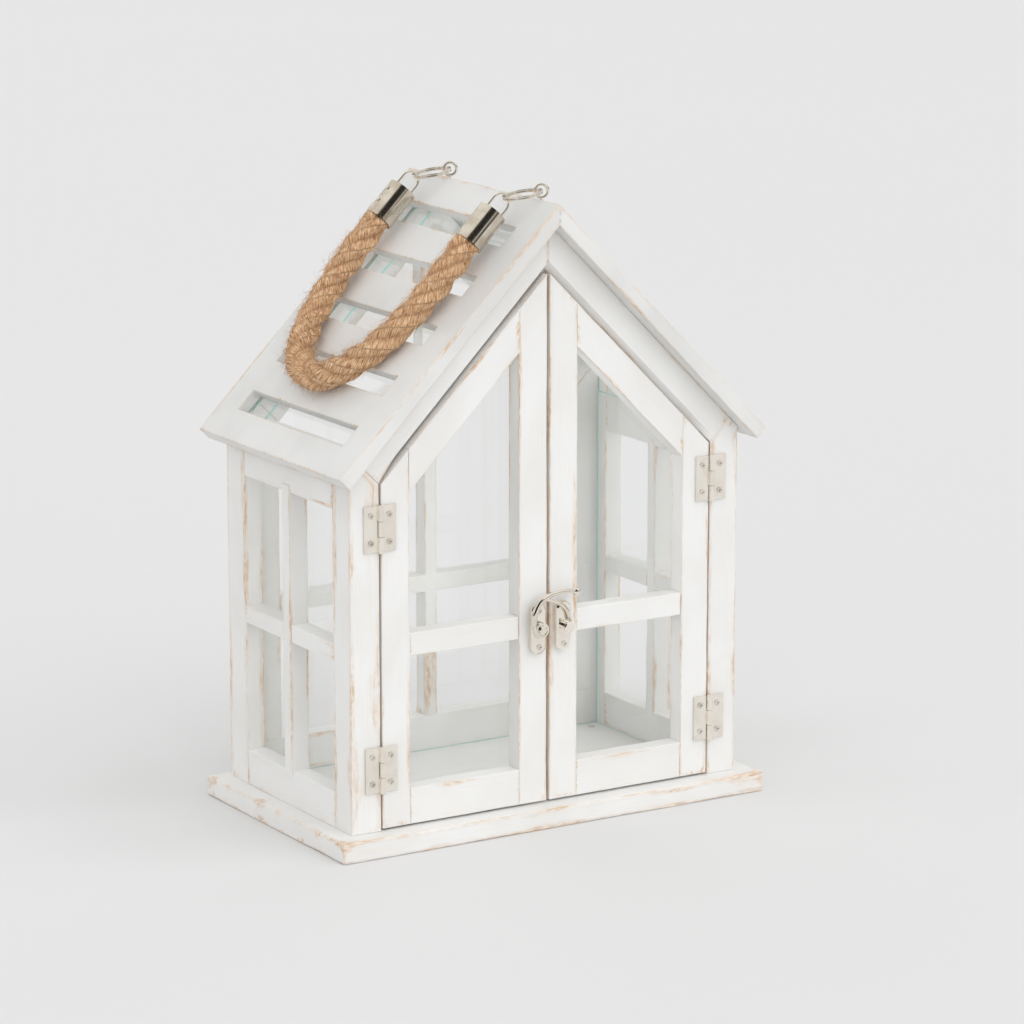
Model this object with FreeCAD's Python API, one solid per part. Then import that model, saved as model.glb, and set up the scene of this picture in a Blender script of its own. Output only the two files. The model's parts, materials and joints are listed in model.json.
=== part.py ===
"""House-shaped candle lantern: painted wood frame, glass panes, two hinged doors, hook latch, rope handle.

Frame: +Z up, +Y towards the back, +X to the right of the doors. The origin is the centre of the
overall footprint on the underside of the base board. Lengths are millimetres, angles are degrees.
"""
import FreeCAD, Part
import math
import os

from FreeCAD import Vector

# ---- Overall body ------------------------------------------------------------------------------
BODY_WIDTH = 280.0             # outside faces of the two side walls
BODY_DEPTH = 156.0             # front face of the doors to the back face
WALL_TOP = 236.8               # height at which the roof's underside meets the walls' outer faces
WALL_THICKNESS = 12.5
ROOF_PITCH = 45.0

# ---- Base board --------------------------------------------------------------------------------
BASE_THICKNESS = 13.0
BASE_SIDE_OVERHANG = 13.1
BASE_FRONT_OVERHANG = 13.5
BASE_BACK_OVERHANG = 8.5
BASE_EASING = 1.2              # bevel round the base board's edges
BOARD_EASING = 0.7             # bevel on the long edges of the other boards

# ---- Roof --------------------------------------------------------------------------------------
ROOF_THICKNESS = 9.5
EAVE_OVERHANG = 13.2           # level distance from the side wall to the eave's upper edge
ROOF_FRONT_OVERHANG = 12.6
ROOF_BACK_OVERHANG = 12.0
SLOT_COUNT = 5
SLOT_HEIGHT = 15.0             # measured down the slope
SLOT_PITCH = 39.2
FIRST_SLOT = 30.5              # ridge to the middle of the top slot, down the slope
SLOT_FRONT = 12.0              # behind the body's front face
SLOT_END_MARGIN = 12.0         # ahead of the body's back face
REBATE_DEPTH = 2.2             # recess under the roof board that holds the glass
REBATE_MARGIN = 4.0            # recess beyond the slots, all round
ROOF_GLASS_JOINT = 122.0       # seam between the two roof sheets, behind the front face

# ---- Glass -------------------------------------------------------------------------------------
GLASS_THICKNESS = 2.0
GLASS_CLEARANCE = 0.2
GLASS_LAP = 6.0                # how far a door pane overlaps the door frame, behind it

# ---- Front frame -------------------------------------------------------------------------------
POST_WIDTH = 20.6              # corner post, seen from the front
POST_DEPTH = 21.5              # corner post, seen from the side
RAKE_WIDTH = 20.0              # sloping gable board, square to its length
RAKE_BEVEL_HEIGHT = 4.5        # bevel on a front rake's lower front edge, up its face
RAKE_BEVEL_DEPTH = 5.5         # and under it
RAKE_BEVEL_RUNOUT = 14.0       # length over which the bevel runs out at the shoulder

# ---- Side walls --------------------------------------------------------------------------------
SIDE_BACK_STILE = 23.0
SIDE_BOTTOM_RAIL = 22.5
SIDE_TOP_RAIL = 24.5           # under the roof, on the outer face
SIDE_MUNTIN_WIDTH = 8.8
SIDE_MUNTIN_PLACE = 78.6       # middle of the upright bar, behind the front face
SIDE_BAR_HEIGHT = 11.0
SIDE_BAR_PLACE = 123.5         # middle of the crossbar, above the ground
MUNTIN_PROUD = 0.8             # how far the upright bar stands out of the wall
MUNTIN_LAP = 4.5               # how far its ends lap over the rails

# ---- Back wall ---------------------------------------------------------------------------------
BACK_THICKNESS = 12.0
BACK_STILE = 19.0
BACK_BOTTOM_RAIL = 23.0
BACK_MUNTIN_WIDTH = 9.0
BACK_BAR_HEIGHT = 11.0
BACK_BAR_PLACE = 124.0

# ---- Doors -------------------------------------------------------------------------------------
DOOR_THICKNESS = 12.5
DOOR_GAP = 1.0                 # round the doors, to posts, rakes and the seam's middle
DOOR_FLOOR_GAP = 1.3
HINGE_STILE = 19.8
MEETING_STILE = 19.9
DOOR_BOTTOM_RAIL = 22.6
DOOR_TOP_RAIL = 19.2           # sloping rail, square to its length
DOOR_BAR_HEIGHT = 14.2
DOOR_BAR_PLACE = 127.2
DOOR_BAR_SETBACK = 0.6         # crossbar's front face, behind the stiles

# ---- Hinges ------------------------------------------------------------------------------------
HINGE_HEIGHT = 28.6
HINGE_LEAF_WIDTH = 11.0        # barrel's axis to the leaf's free edge
LEAF_THICKNESS = 1.2
BARREL_RADIUS = 1.8
BARREL_STANDOFF = 0.3          # clear space between the barrel and the wood
PIN_RADIUS = 1.0
PIN_CLEARANCE = 0.05
PIN_HEAD = 0.6                 # how far a pin's head stands out of the barrel
KNUCKLE_GAP = 0.3
LOWER_HINGE_RISE = {-1: 37.8, 1: 36.5}      # door's foot to the hinge's middle, left and right
UPPER_HINGE_DROP = {-1: 26.7, 1: 22.5}      # door's shoulder to the hinge's middle
HINGE_SCREW_OUT = 6.4          # barrel's axis to the screws
HINGE_SCREW_SPREAD = 17.0      # upper screw to lower screw

# ---- Screws ------------------------------------------------------------------------------------
SCREW_HEAD_RADIUS = 2.1
SCREW_HEAD_DEPTH = 1.0
SCREW_PROUD = 0.25
SCREW_SHANK_RADIUS = 1.0
SCREW_LENGTH = 10.0
RECESS_WIDTH = 0.55
RECESS_LENGTH = 2.6
RECESS_DEPTH = 0.7
FLOOR_SCREW_INSET = 10.5       # floor screws, in from the walls' inner faces

# ---- Latch -------------------------------------------------------------------------------------
PLATE_WIDTH = 10.3
PLATE_HEIGHT = 32.0
PLATE_THICKNESS = 4.5
PLATE_BEVEL = 1.2
PLATE_OUT = 9.0                # seam's middle to the middle of each plate
LATCH_DROP = 1.2               # plates' middle below the door bars' middle
PLATE_SCREW_SPREAD = 23.0
HOOK_GAP = 0.7                 # between the plate and the hook
HOOK_RADIUS = 1.5              # half the thickness of the hook's round limb
HOOK_EYE_RADIUS = 4.6
SCROLL_GROOVE = (3.0, 3.6)     # inner and outer radius of the groove round the hook's eye
SCROLL_GROOVE_DEPTH = 0.5
STEM_RADIUS = 1.9              # thicker stretch of the limb, from the eye to the fork
BRANCH_RADIUS = 1.2
KNOB_RADIUS = 2.9
RIVET_RADIUS = 1.6
RIVET_HEAD_RADIUS = 2.7
RIVET_HEAD_HEIGHT = 1.1
STUD_RADIUS = 2.2
STUD_HEAD_RADIUS = 3.5
STUD_HEAD_HEIGHT = 1.9
# Limb and branch: level and upright distances from the rivet, in a plane in front of the doors.
LIMB_ROUTE = [(0.6, -3.6), (-3.6, -3.9), (-5.6, 3.4), (-4.9, 11.6), (-0.6, 18.6),
              (7.0, 21.8), (17.0, 22.6), (25.3, 21.4)]
STEM_ROUTE = [(-5.5, 4.6), (-4.9, 11.6), (-0.6, 18.4), (4.0, 20.6)]
BRANCH_ROUTE = [(2.6, 19.4), (8.0, 17.2), (14.0, 15.2), (18.8, 10.2), (21.2, 3.4)]

# ---- Rope handle -------------------------------------------------------------------------------
ROPE_DIAMETER = 18.0
# Route of the rope lying on the left roof slope, front ferrule to back ferrule: distance behind
# the body's front face, distance down the slope from the ridge, height above the roof's surface.
ROPE_ROUTE = [(22.0, 48.9, 13.5), (22.0, 63.0, 13.5), (23.6, 81.0, 11.6), (27.0, 101.0, 10.2),
              (32.0, 120.5, 9.6), (41.0, 139.0, 9.6), (54.5, 154.0, 9.6), (70.0, 161.5, 9.6),
              (87.5, 162.0, 9.6), (103.5, 155.0, 9.6), (116.5, 141.0, 9.6), (126.0, 123.0, 9.6),
              (131.0, 103.0, 9.9), (132.4, 82.5, 11.4), (130.4, 63.0, 13.5), (130.4, 48.9, 13.5)]
ARC_SHARE = 0.45               # part of the shorter run that each bend takes from its corner
FERRULE_LENGTH = 25.0
FERRULE_RADIUS = 9.25
FERRULE_WALL = 0.8
FERRULE_CAP = 1.6
FERRULE_RIVET_RADIUS = 1.5
FERRULE_RIVET_HEIGHT = 0.7
FERRULE_RIVET_DEPTH = 4.0      # in the rope
FERRULE_RIVETS = (6.0, 15.5)   # from the capped end
LOOP_WIRE_RADIUS = 0.9
LOOP_HALF_WIDTH = 6.0
LOOP_REACH = 11.0              # ferrule's capped end to the ring it hangs from
LOOP_PLAY = 2.6                # ring's wire to the loop's wire, middle to middle, at the loop's tip
RING_RADIUS = 11.8             # split ring, middle of its wire
RING_WIRE_WIDTH = 1.4
RING_WIRE_HEIGHT = 2.4
RING_TURN = 22.0               # chain of loop, ring and eye, turned from square to the ridge
RING_TILT = 10.0               # ring's rise from the loop to the eye
EYE_RADIUS = 4.05
EYE_WIRE_RADIUS = 0.95
EYE_SHANK_DEPTH = 9.0          # in the wood

# ---- Places worked out from the sizes above ----------------------------------------------------
HALF_WIDTH = BODY_WIDTH / 2
INNER_HALF = HALF_WIDTH - WALL_THICKNESS
OVERALL_DEPTH = BASE_FRONT_OVERHANG + BODY_DEPTH + ROOF_BACK_OVERHANG
FRONT = BASE_FRONT_OVERHANG - OVERALL_DEPTH / 2
BACK = FRONT + BODY_DEPTH
BACK_INNER = BACK - BACK_THICKNESS
COS_PITCH = math.cos(math.radians(ROOF_PITCH))
SIN_PITCH = math.sin(math.radians(ROOF_PITCH))
RISE = SIN_PITCH / COS_PITCH
APEX_UNDER = WALL_TOP + HALF_WIDTH * RISE
RIDGE = APEX_UNDER + ROOF_THICKNESS / COS_PITCH
SLOPE_LENGTH = (HALF_WIDTH + EAVE_OVERHANG) / COS_PITCH
DOORWAY_HALF = HALF_WIDTH - POST_WIDTH
DOORWAY_APEX = APEX_UNDER - RAKE_WIDTH / COS_PITCH
DOOR_FOOT = BASE_THICKNESS + DOOR_FLOOR_GAP
DOOR_EDGE = DOORWAY_HALF - DOOR_GAP
DOOR_APEX = DOORWAY_APEX - DOOR_GAP / COS_PITCH
DOOR_INNER_APEX = DOOR_APEX - DOOR_TOP_RAIL / COS_PITCH
DOOR_SHOULDER = DOOR_APEX - DOOR_EDGE * RISE
HINGE_AXIS_Y = FRONT - BARREL_STANDOFF - BARREL_RADIUS
LATCH_Z = DOOR_BAR_PLACE - LATCH_DROP
HOOK_Y = FRONT - PLATE_THICKNESS - HOOK_GAP - HOOK_RADIUS


# ---- Shared shapes -----------------------------------------------------------------------------
def block(x_pair, y_pair, z_pair):
    """Box between two values on each axis, given in any order."""
    x0, x1 = sorted(x_pair)
    y0, y1 = sorted(y_pair)
    z0, z1 = sorted(z_pair)
    return Part.makeBox(x1 - x0, y1 - y0, z1 - z0, Vector(x0, y0, z0))


def gable_prism(outline, y0, y1):
    """Outline of (x, z) points, seen from the front, run from y0 back to y1."""
    points = [Vector(x, y0, z) for x, z in outline]
    face = Part.Face(Part.makePolygon(points + points[:1]))
    return face.extrude(Vector(0, y1 - y0, 0))


def eased(solid, direction, size=BOARD_EASING):
    """Bevel every straight edge that runs along a direction."""
    along = Vector(*direction)
    along.normalize()
    edges = []
    for edge in solid.Edges:
        run = edge.Vertexes[-1].Point - edge.Vertexes[0].Point
        if run.Length > 4 * size and abs(abs(run.dot(along)) - run.Length) < 1e-6:
            edges.append(edge)
    return solid.makeChamfer(size, edges)


def cylinder(start, end, radius):
    """Round bar between two points."""
    run = end - start
    return Part.makeCylinder(radius, run.Length, start, run)


def route_wire(points):
    """Straight runs joined by tangent arcs, and the arcs' radii.

    Each arc takes ARC_SHARE of the shorter of its two runs from the corner that it rounds.
    """
    edges = []
    radii = []
    last = points[0]
    for before, corner, after in zip(points, points[1:], points[2:]):
        run_in = corner - before
        run_out = after - corner
        trim = ARC_SHARE * min(run_in.Length, run_out.Length)
        half_turn = run_in.getAngle(run_out) / 2
        radius = trim / math.tan(half_turn)
        start = corner - run_in.normalize() * trim
        end = corner + run_out.normalize() * trim
        inward = (start + end) * 0.5 - corner
        middle = corner + inward.normalize() * (radius / math.cos(half_turn) - radius)
        edges.append(Part.LineSegment(last, start).toShape())
        edges.append(Part.Arc(start, middle, end).toShape())
        radii.append(radius)
        last = end
    edges.append(Part.LineSegment(last, points[-1]).toShape())
    return Part.Wire(edges), radii


def round_bar(points, radius):
    """Round bar along a route, with flat ends square to its first and last runs."""
    wire, _ = route_wire(points)
    section = Part.Wire(Part.makeCircle(radius, points[0], points[1] - points[0]))
    return wire.makePipeShell([section], True, False)


def under_roof(x):
    """Height of the roof's underside at a distance from the middle."""
    return APEX_UNDER - abs(x) * RISE


def roof_point(side, down, height):
    """(x, z) of a point a distance down the slope and a height above the roof's top surface."""
    x = side * (down * COS_PITCH + height * SIN_PITCH)
    z = RIDGE - down * SIN_PITCH + height * COS_PITCH
    return x, z


def on_slope(place, down, height):
    """Point above the left slope, a distance behind the body's front face."""
    x, z = roof_point(-1, down, height)
    return Vector(x, FRONT + place, z)


def countersunk_screw(head, inward):
    """Cross-recessed screw whose head sits in a surface at a point and whose shank runs inward."""
    face = head - inward * SCREW_PROUD
    rim = Part.makeCylinder(SCREW_HEAD_RADIUS, SCREW_PROUD, face, inward)
    cone = Part.makeCone(SCREW_HEAD_RADIUS, SCREW_SHANK_RADIUS, SCREW_HEAD_DEPTH, head, inward)
    shank = Part.makeCylinder(SCREW_SHANK_RADIUS, SCREW_LENGTH, head, inward)
    screw = rim.fuse([cone, shank]).removeSplitter()
    turn = FreeCAD.Rotation(Vector(0, 0, 1), inward)
    for length, width in ((RECESS_LENGTH, RECESS_WIDTH), (RECESS_WIDTH, RECESS_LENGTH)):
        groove = Part.makeBox(length, width, RECESS_DEPTH, Vector(-length / 2, -width / 2, 0))
        groove.Placement = FreeCAD.Placement(face, turn).multiply(groove.Placement)
        screw = screw.cut(groove)
    return screw


def screw_seat(head, inward):
    """Countersink and pilot hole that a screw fills."""
    cone = Part.makeCone(SCREW_HEAD_RADIUS, SCREW_SHANK_RADIUS, SCREW_HEAD_DEPTH, head, inward)
    return cone.fuse(Part.makeCylinder(SCREW_SHANK_RADIUS, SCREW_LENGTH, head, inward))


# ---- Base --------------------------------------------------------------------------------------
def floor_screw_heads():
    """Places of the screws in the floor, near the four inner corners."""
    x = INNER_HALF - FLOOR_SCREW_INSET
    front = FRONT + POST_DEPTH + FLOOR_SCREW_INSET
    back = BACK_INNER - FLOOR_SCREW_INSET
    return [Vector(side * x, y, BASE_THICKNESS) for side in (-1, 1) for y in (front, back)]


def base_board():
    """Board that the lantern stands on, with its edges eased all round."""
    x = HALF_WIDTH + BASE_SIDE_OVERHANG
    board = block((-x, x), (FRONT - BASE_FRONT_OVERHANG, BACK + BASE_BACK_OVERHANG),
                  (0, BASE_THICKNESS))
    board = board.makeChamfer(BASE_EASING, board.Edges)
    for head in floor_screw_heads():
        board = board.cut(screw_seat(head, Vector(0, 0, -1)))
    return board


def floor_screws():
    """Screws that hold the base board, seen on the lantern's floor."""
    return [countersunk_screw(head, Vector(0, 0, -1)) for head in floor_screw_heads()]


# ---- Front frame -------------------------------------------------------------------------------
def shoulder_points(side):
    """Joint between a front post and its rake: inner corner, then the point under the roof."""
    inner = (side * DOORWAY_HALF, DOORWAY_APEX - DOORWAY_HALF * RISE)
    outer = (inner[0] + side * RAKE_WIDTH * SIN_PITCH, inner[1] + RAKE_WIDTH * COS_PITCH)
    return inner, outer


def front_post(side):
    """Corner post beside a door, cut at the top to meet the rake and the roof."""
    inner, outer = shoulder_points(side)
    outline = [(side * HALF_WIDTH, BASE_THICKNESS), (side * DOORWAY_HALF, BASE_THICKNESS),
               inner, outer, (side * HALF_WIDTH, WALL_TOP)]
    post = eased(gable_prism(outline, FRONT, FRONT + POST_DEPTH), (0, 0, 1))
    for place in hinge_places(side):
        for head in leaf_screw_heads(side, place, 1):
            post = post.cut(screw_seat(head, Vector(0, 1, 0)))
    return post


def front_rake(side):
    """Sloping board over a door, mitred at the ridge."""
    inner, outer = shoulder_points(side)
    outline = [inner, outer, (0, APEX_UNDER), (0, DOORWAY_APEX)]
    rake = eased(gable_prism(outline, FRONT, FRONT + WALL_THICKNESS), (-side, 0, RISE))
    return rake.cut(rake_bevel(side))


def rake_bevel(side):
    """Wedge cut from a rake's lower front edge: even from past the ridge, then running out."""
    inner, _ = shoulder_points(side)
    stations = ((-RAKE_WIDTH, 1.0), (DOORWAY_HALF - RAKE_BEVEL_RUNOUT, 1.0), (DOORWAY_HALF, 0.1))
    sections = []
    for distance, share in stations:
        x = side * distance
        z = inner[1] + (DOORWAY_HALF - distance) * RISE
        up = share * RAKE_BEVEL_HEIGHT / COS_PITCH
        back = share * RAKE_BEVEL_DEPTH
        under = Vector(x, FRONT + back, z)
        corner = Vector(x, FRONT, z)
        face = Vector(x, FRONT, z + up)
        beyond = Vector(0, -1, -1)
        sections.append(Part.makePolygon([under + Vector(0, 0, -1), under, face, face + Vector(0, -1, 0),
                                          corner + beyond, under + Vector(0, 0, -1)]))
    return Part.makeLoft(sections, True, True)


# ---- Side walls --------------------------------------------------------------------------------
def side_outline(side, z_bottom):
    """Section of a side wall between a height and the roof's underside."""
    outer = side * HALF_WIDTH
    inner = side * INNER_HALF
    return [(outer, z_bottom), (inner, z_bottom), (inner, under_roof(inner)), (outer, WALL_TOP)]


def side_back_stile(side):
    """Upright board at the back of a side wall."""
    stile = gable_prism(side_outline(side, BASE_THICKNESS), BACK - SIDE_BACK_STILE, BACK)
    return eased(stile, (0, 0, 1))


def side_bottom_rail(side):
    """Rail along the foot of a side wall."""
    rail = block((side * INNER_HALF, side * HALF_WIDTH),
                 (FRONT + POST_DEPTH, BACK - SIDE_BACK_STILE),
                 (BASE_THICKNESS, BASE_THICKNESS + SIDE_BOTTOM_RAIL))
    return eased(rail, (0, 1, 0))


def side_top_rail(side):
    """Rail under the eave, bevelled to the roof's pitch."""
    outline = side_outline(side, WALL_TOP - SIDE_TOP_RAIL)
    rail = gable_prism(outline, FRONT + POST_DEPTH, BACK - SIDE_BACK_STILE)
    return eased(rail, (0, 1, 0))


def side_muntin(side):
    """Upright glazing bar, a little proud of the wall, whose ends lap over the rails."""
    y_pair = (FRONT + SIDE_MUNTIN_PLACE - SIDE_MUNTIN_WIDTH / 2,
              FRONT + SIDE_MUNTIN_PLACE + SIDE_MUNTIN_WIDTH / 2)
    foot = BASE_THICKNESS + SIDE_BOTTOM_RAIL
    head = WALL_TOP - SIDE_TOP_RAIL
    outside = side * (HALF_WIDTH + MUNTIN_PROUD)
    bar = block((side * INNER_HALF, outside), y_pair, (foot, head))
    lap = block((side * HALF_WIDTH, outside), y_pair, (foot - MUNTIN_LAP, head + MUNTIN_LAP))
    return bar.fuse(lap).removeSplitter()


def side_crossbar(side):
    """Two level glazing bars, one each side of the upright one."""
    z_pair = (SIDE_BAR_PLACE - SIDE_BAR_HEIGHT / 2, SIDE_BAR_PLACE + SIDE_BAR_HEIGHT / 2)
    middle = FRONT + SIDE_MUNTIN_PLACE
    spans = ((FRONT + POST_DEPTH, middle - SIDE_MUNTIN_WIDTH / 2),
             (middle + SIDE_MUNTIN_WIDTH / 2, BACK - SIDE_BACK_STILE))
    x_pair = (side * INNER_HALF, side * HALF_WIDTH)
    return [eased(block(x_pair, span, z_pair), (0, 1, 0)) for span in spans]


def side_glass(side):
    """Sheet that stands on the floor behind a side wall's bars."""
    inside = INNER_HALF - GLASS_THICKNESS
    return block((side * inside, side * INNER_HALF),
                 (FRONT + POST_DEPTH + GLASS_CLEARANCE,
                  BACK_INNER - GLASS_THICKNESS - GLASS_CLEARANCE),
                 (BASE_THICKNESS, WALL_TOP))


# ---- Back wall ---------------------------------------------------------------------------------
def back_bottom_rail():
    """Rail along the foot of the back wall."""
    rail = block((-INNER_HALF, INNER_HALF), (BACK_INNER, BACK),
                 (BASE_THICKNESS, BASE_THICKNESS + BACK_BOTTOM_RAIL))
    return eased(rail, (1, 0, 0))


def back_shoulder(side):
    """Joint between a back stile and its rake: inner corner, then the point under the roof."""
    x = INNER_HALF - BACK_STILE
    inner = (side * x, under_roof(x) - RAKE_WIDTH / COS_PITCH)
    outer = (inner[0] + side * RAKE_WIDTH * SIN_PITCH, inner[1] + RAKE_WIDTH * COS_PITCH)
    return inner, outer


def back_stile(side):
    """Upright board at one side of the back wall."""
    inner, outer = back_shoulder(side)
    foot = BASE_THICKNESS + BACK_BOTTOM_RAIL
    outline = [(side * INNER_HALF, foot), (inner[0], foot), inner, outer,
               (side * INNER_HALF, under_roof(INNER_HALF))]
    return eased(gable_prism(outline, BACK_INNER, BACK), (0, 0, 1))


def back_rake(side):
    """Sloping board under the roof at the back."""
    inner, outer = back_shoulder(side)
    outline = [inner, outer, (0, APEX_UNDER), (0, APEX_UNDER - RAKE_WIDTH / COS_PITCH)]
    return eased(gable_prism(outline, BACK_INNER, BACK), (-side, 0, RISE))


def back_muntin():
    """Upright glazing bar in the middle of the back wall, cut to a point under the rakes."""
    half = BACK_MUNTIN_WIDTH / 2
    foot = BASE_THICKNESS + BACK_BOTTOM_RAIL
    tip = APEX_UNDER - RAKE_WIDTH / COS_PITCH
    outline = [(-half, foot), (half, foot), (half, tip - half * RISE), (0, tip),
               (-half, tip - half * RISE)]
    return eased(gable_prism(outline, BACK_INNER, BACK), (0, 0, 1))


def back_crossbar():
    """Two level glazing bars, one each side of the upright one."""
    z_pair = (BACK_BAR_PLACE - BACK_BAR_HEIGHT / 2, BACK_BAR_PLACE + BACK_BAR_HEIGHT / 2)
    bars = []
    for side in (-1, 1):
        span = (side * BACK_MUNTIN_WIDTH / 2, side * (INNER_HALF - BACK_STILE))
        bars.append(eased(block(span, (BACK_INNER, BACK), z_pair), (1, 0, 0)))
    return bars


def back_glass():
    """House-shaped sheet that stands on the floor inside the back wall."""
    x = INNER_HALF - GLASS_CLEARANCE
    drop = GLASS_CLEARANCE / COS_PITCH
    outline = [(-x, BASE_THICKNESS), (x, BASE_THICKNESS), (x, under_roof(x) - drop),
               (0, APEX_UNDER - drop), (-x, under_roof(x) - drop)]
    return gable_prism(outline, BACK_INNER - GLASS_THICKNESS, BACK_INNER)


# ---- Roof --------------------------------------------------------------------------------------
def slope_block(side, down_pair, height_pair, y_pair):
    """Block that lies square to a slope, between distances down it and heights above it."""
    near, far = down_pair
    low, high = height_pair
    outline = [roof_point(side, near, low), roof_point(side, far, low),
               roof_point(side, far, high), roof_point(side, near, high)]
    return gable_prism(outline, y_pair[0], y_pair[1])


def rebate_spans():
    """Distances down the slope, and places behind the front, of the recess for the glass."""
    down = (FIRST_SLOT - SLOT_HEIGHT / 2 - REBATE_MARGIN,
            FIRST_SLOT + (SLOT_COUNT - 1) * SLOT_PITCH + SLOT_HEIGHT / 2 + REBATE_MARGIN)
    y_pair = (FRONT + SLOT_FRONT - REBATE_MARGIN, BACK - SLOT_END_MARGIN + REBATE_MARGIN)
    return down, y_pair


def roof_board(side):
    """One roof slope, with its row of slots and the recess under them."""
    outline = [(0, RIDGE), roof_point(side, SLOPE_LENGTH, 0),
               roof_point(side, SLOPE_LENGTH, -ROOF_THICKNESS), (0, APEX_UNDER)]
    board = gable_prism(outline, FRONT - ROOF_FRONT_OVERHANG, BACK + ROOF_BACK_OVERHANG)
    for index in range(SLOT_COUNT):
        middle = FIRST_SLOT + index * SLOT_PITCH
        down = (middle - SLOT_HEIGHT / 2, middle + SLOT_HEIGHT / 2)
        slot = slope_block(side, down, (-2 * ROOF_THICKNESS, ROOF_THICKNESS),
                           (FRONT + SLOT_FRONT, BACK - SLOT_END_MARGIN))
        board = board.cut(slot)
    down, y_pair = rebate_spans()
    board = board.cut(slope_block(side, down, (-2 * ROOF_THICKNESS, REBATE_DEPTH - ROOF_THICKNESS),
                                  y_pair))
    if side > 0:
        for eye in eye_centres():
            board = board.cut(eye_shank(eye))
    return board


def roof_glass(side):
    """Two sheets in the recess under a slope, with a seam between them."""
    (near, far), (front, back) = rebate_spans()
    down = (near + GLASS_CLEARANCE, far - GLASS_CLEARANCE)
    top = REBATE_DEPTH - ROOF_THICKNESS
    seam = FRONT + ROOF_GLASS_JOINT
    spans = ((front + GLASS_CLEARANCE, seam - GLASS_CLEARANCE),
             (seam + GLASS_CLEARANCE, back - GLASS_CLEARANCE))
    return [slope_block(side, down, (top - GLASS_THICKNESS, top), span) for span in spans]


# ---- Doors -------------------------------------------------------------------------------------
def door_window(side):
    """Inner edges of a door's frame: at the hinge stile and at the meeting stile."""
    return side * (DOOR_EDGE - HINGE_STILE), side * (DOOR_GAP + MEETING_STILE)


def door_slope(x, apex=DOOR_APEX):
    """Height of a door's sloping edge at a distance from the seam."""
    return apex - abs(x) * RISE


def hinge_stile(side):
    """Upright of a door at its hinges."""
    outer = side * DOOR_EDGE
    inner, _ = door_window(side)
    outline = [(outer, DOOR_FOOT), (inner, DOOR_FOOT), (inner, door_slope(inner)),
               (outer, DOOR_SHOULDER)]
    stile = eased(gable_prism(outline, FRONT, FRONT + DOOR_THICKNESS), (0, 0, 1))
    for place in hinge_places(side):
        for head in leaf_screw_heads(side, place, -1):
            stile = stile.cut(screw_seat(head, Vector(0, 1, 0)))
    return stile


def meeting_stile(side):
    """Upright of a door at the seam, where the latch is."""
    outer = side * DOOR_GAP
    _, inner = door_window(side)
    outline = [(outer, DOOR_FOOT), (inner, DOOR_FOOT), (inner, door_slope(inner)),
               (outer, door_slope(outer))]
    stile = eased(gable_prism(outline, FRONT, FRONT + DOOR_THICKNESS), (0, 0, 1))
    for head in plate_screw_heads(side):
        stile = stile.cut(screw_seat(head, Vector(0, 1, 0)))
    return stile


def door_bottom_rail(side):
    """Level rail at a door's foot."""
    rail = block(door_window(side), (FRONT, FRONT + DOOR_THICKNESS),
                 (DOOR_FOOT, DOOR_FOOT + DOOR_BOTTOM_RAIL))
    return eased(rail, (1, 0, 0))


def door_crossbar(side):
    """Level bar between a door's two panes of view."""
    bar = block(door_window(side), (FRONT + DOOR_BAR_SETBACK, FRONT + DOOR_THICKNESS),
                (DOOR_BAR_PLACE - DOOR_BAR_HEIGHT / 2, DOOR_BAR_PLACE + DOOR_BAR_HEIGHT / 2))
    return eased(bar, (1, 0, 0))


def door_top_rail(side):
    """Sloping rail between a door's two stiles."""
    near, far = door_window(side)
    outline = [(near, door_slope(near, DOOR_INNER_APEX)), (near, door_slope(near)),
               (far, door_slope(far)), (far, door_slope(far, DOOR_INNER_APEX))]
    rail = gable_prism(outline, FRONT, FRONT + DOOR_THICKNESS)
    return eased(rail, (-side, 0, RISE))


def door_glass(side):
    """Pane fixed behind a door's frame, overlapping it all round."""
    hinge_x, seam_x = door_window(side)
    outer = hinge_x + side * GLASS_LAP
    inner = seam_x - side * GLASS_LAP
    foot = DOOR_FOOT + DOOR_BOTTOM_RAIL - GLASS_LAP
    apex = DOOR_INNER_APEX + GLASS_LAP / COS_PITCH
    outline = [(outer, foot), (inner, foot), (inner, apex - abs(inner) * RISE),
               (outer, apex - abs(outer) * RISE)]
    back = FRONT + DOOR_THICKNESS
    return gable_prism(outline, back, back + GLASS_THICKNESS)


# ---- Hinges ------------------------------------------------------------------------------------
def hinge_places(side):
    """Heights of the middles of a door's two hinges."""
    return (DOOR_FOOT + LOWER_HINGE_RISE[side], DOOR_SHOULDER - UPPER_HINGE_DROP[side])


def leaf_screw_heads(side, place, away):
    """Screw heads on one leaf; away is 1 for the post's leaf and -1 for the door's."""
    x = side * (DOORWAY_HALF + away * HINGE_SCREW_OUT)
    half = HINGE_SCREW_SPREAD / 2
    return [Vector(x, FRONT - LEAF_THICKNESS, place + step) for step in (-half, half)]


def knuckle_spans(place, away):
    """Heights of the barrel's pieces: two on the post's leaf, the middle one on the door's."""
    low = place - HINGE_HEIGHT / 2
    third = HINGE_HEIGHT / 3
    if away > 0:
        return [(low, low + third - KNUCKLE_GAP / 2),
                (low + 2 * third + KNUCKLE_GAP / 2, low + HINGE_HEIGHT)]
    return [(low + third + KNUCKLE_GAP / 2, low + 2 * third - KNUCKLE_GAP / 2)]


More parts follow.
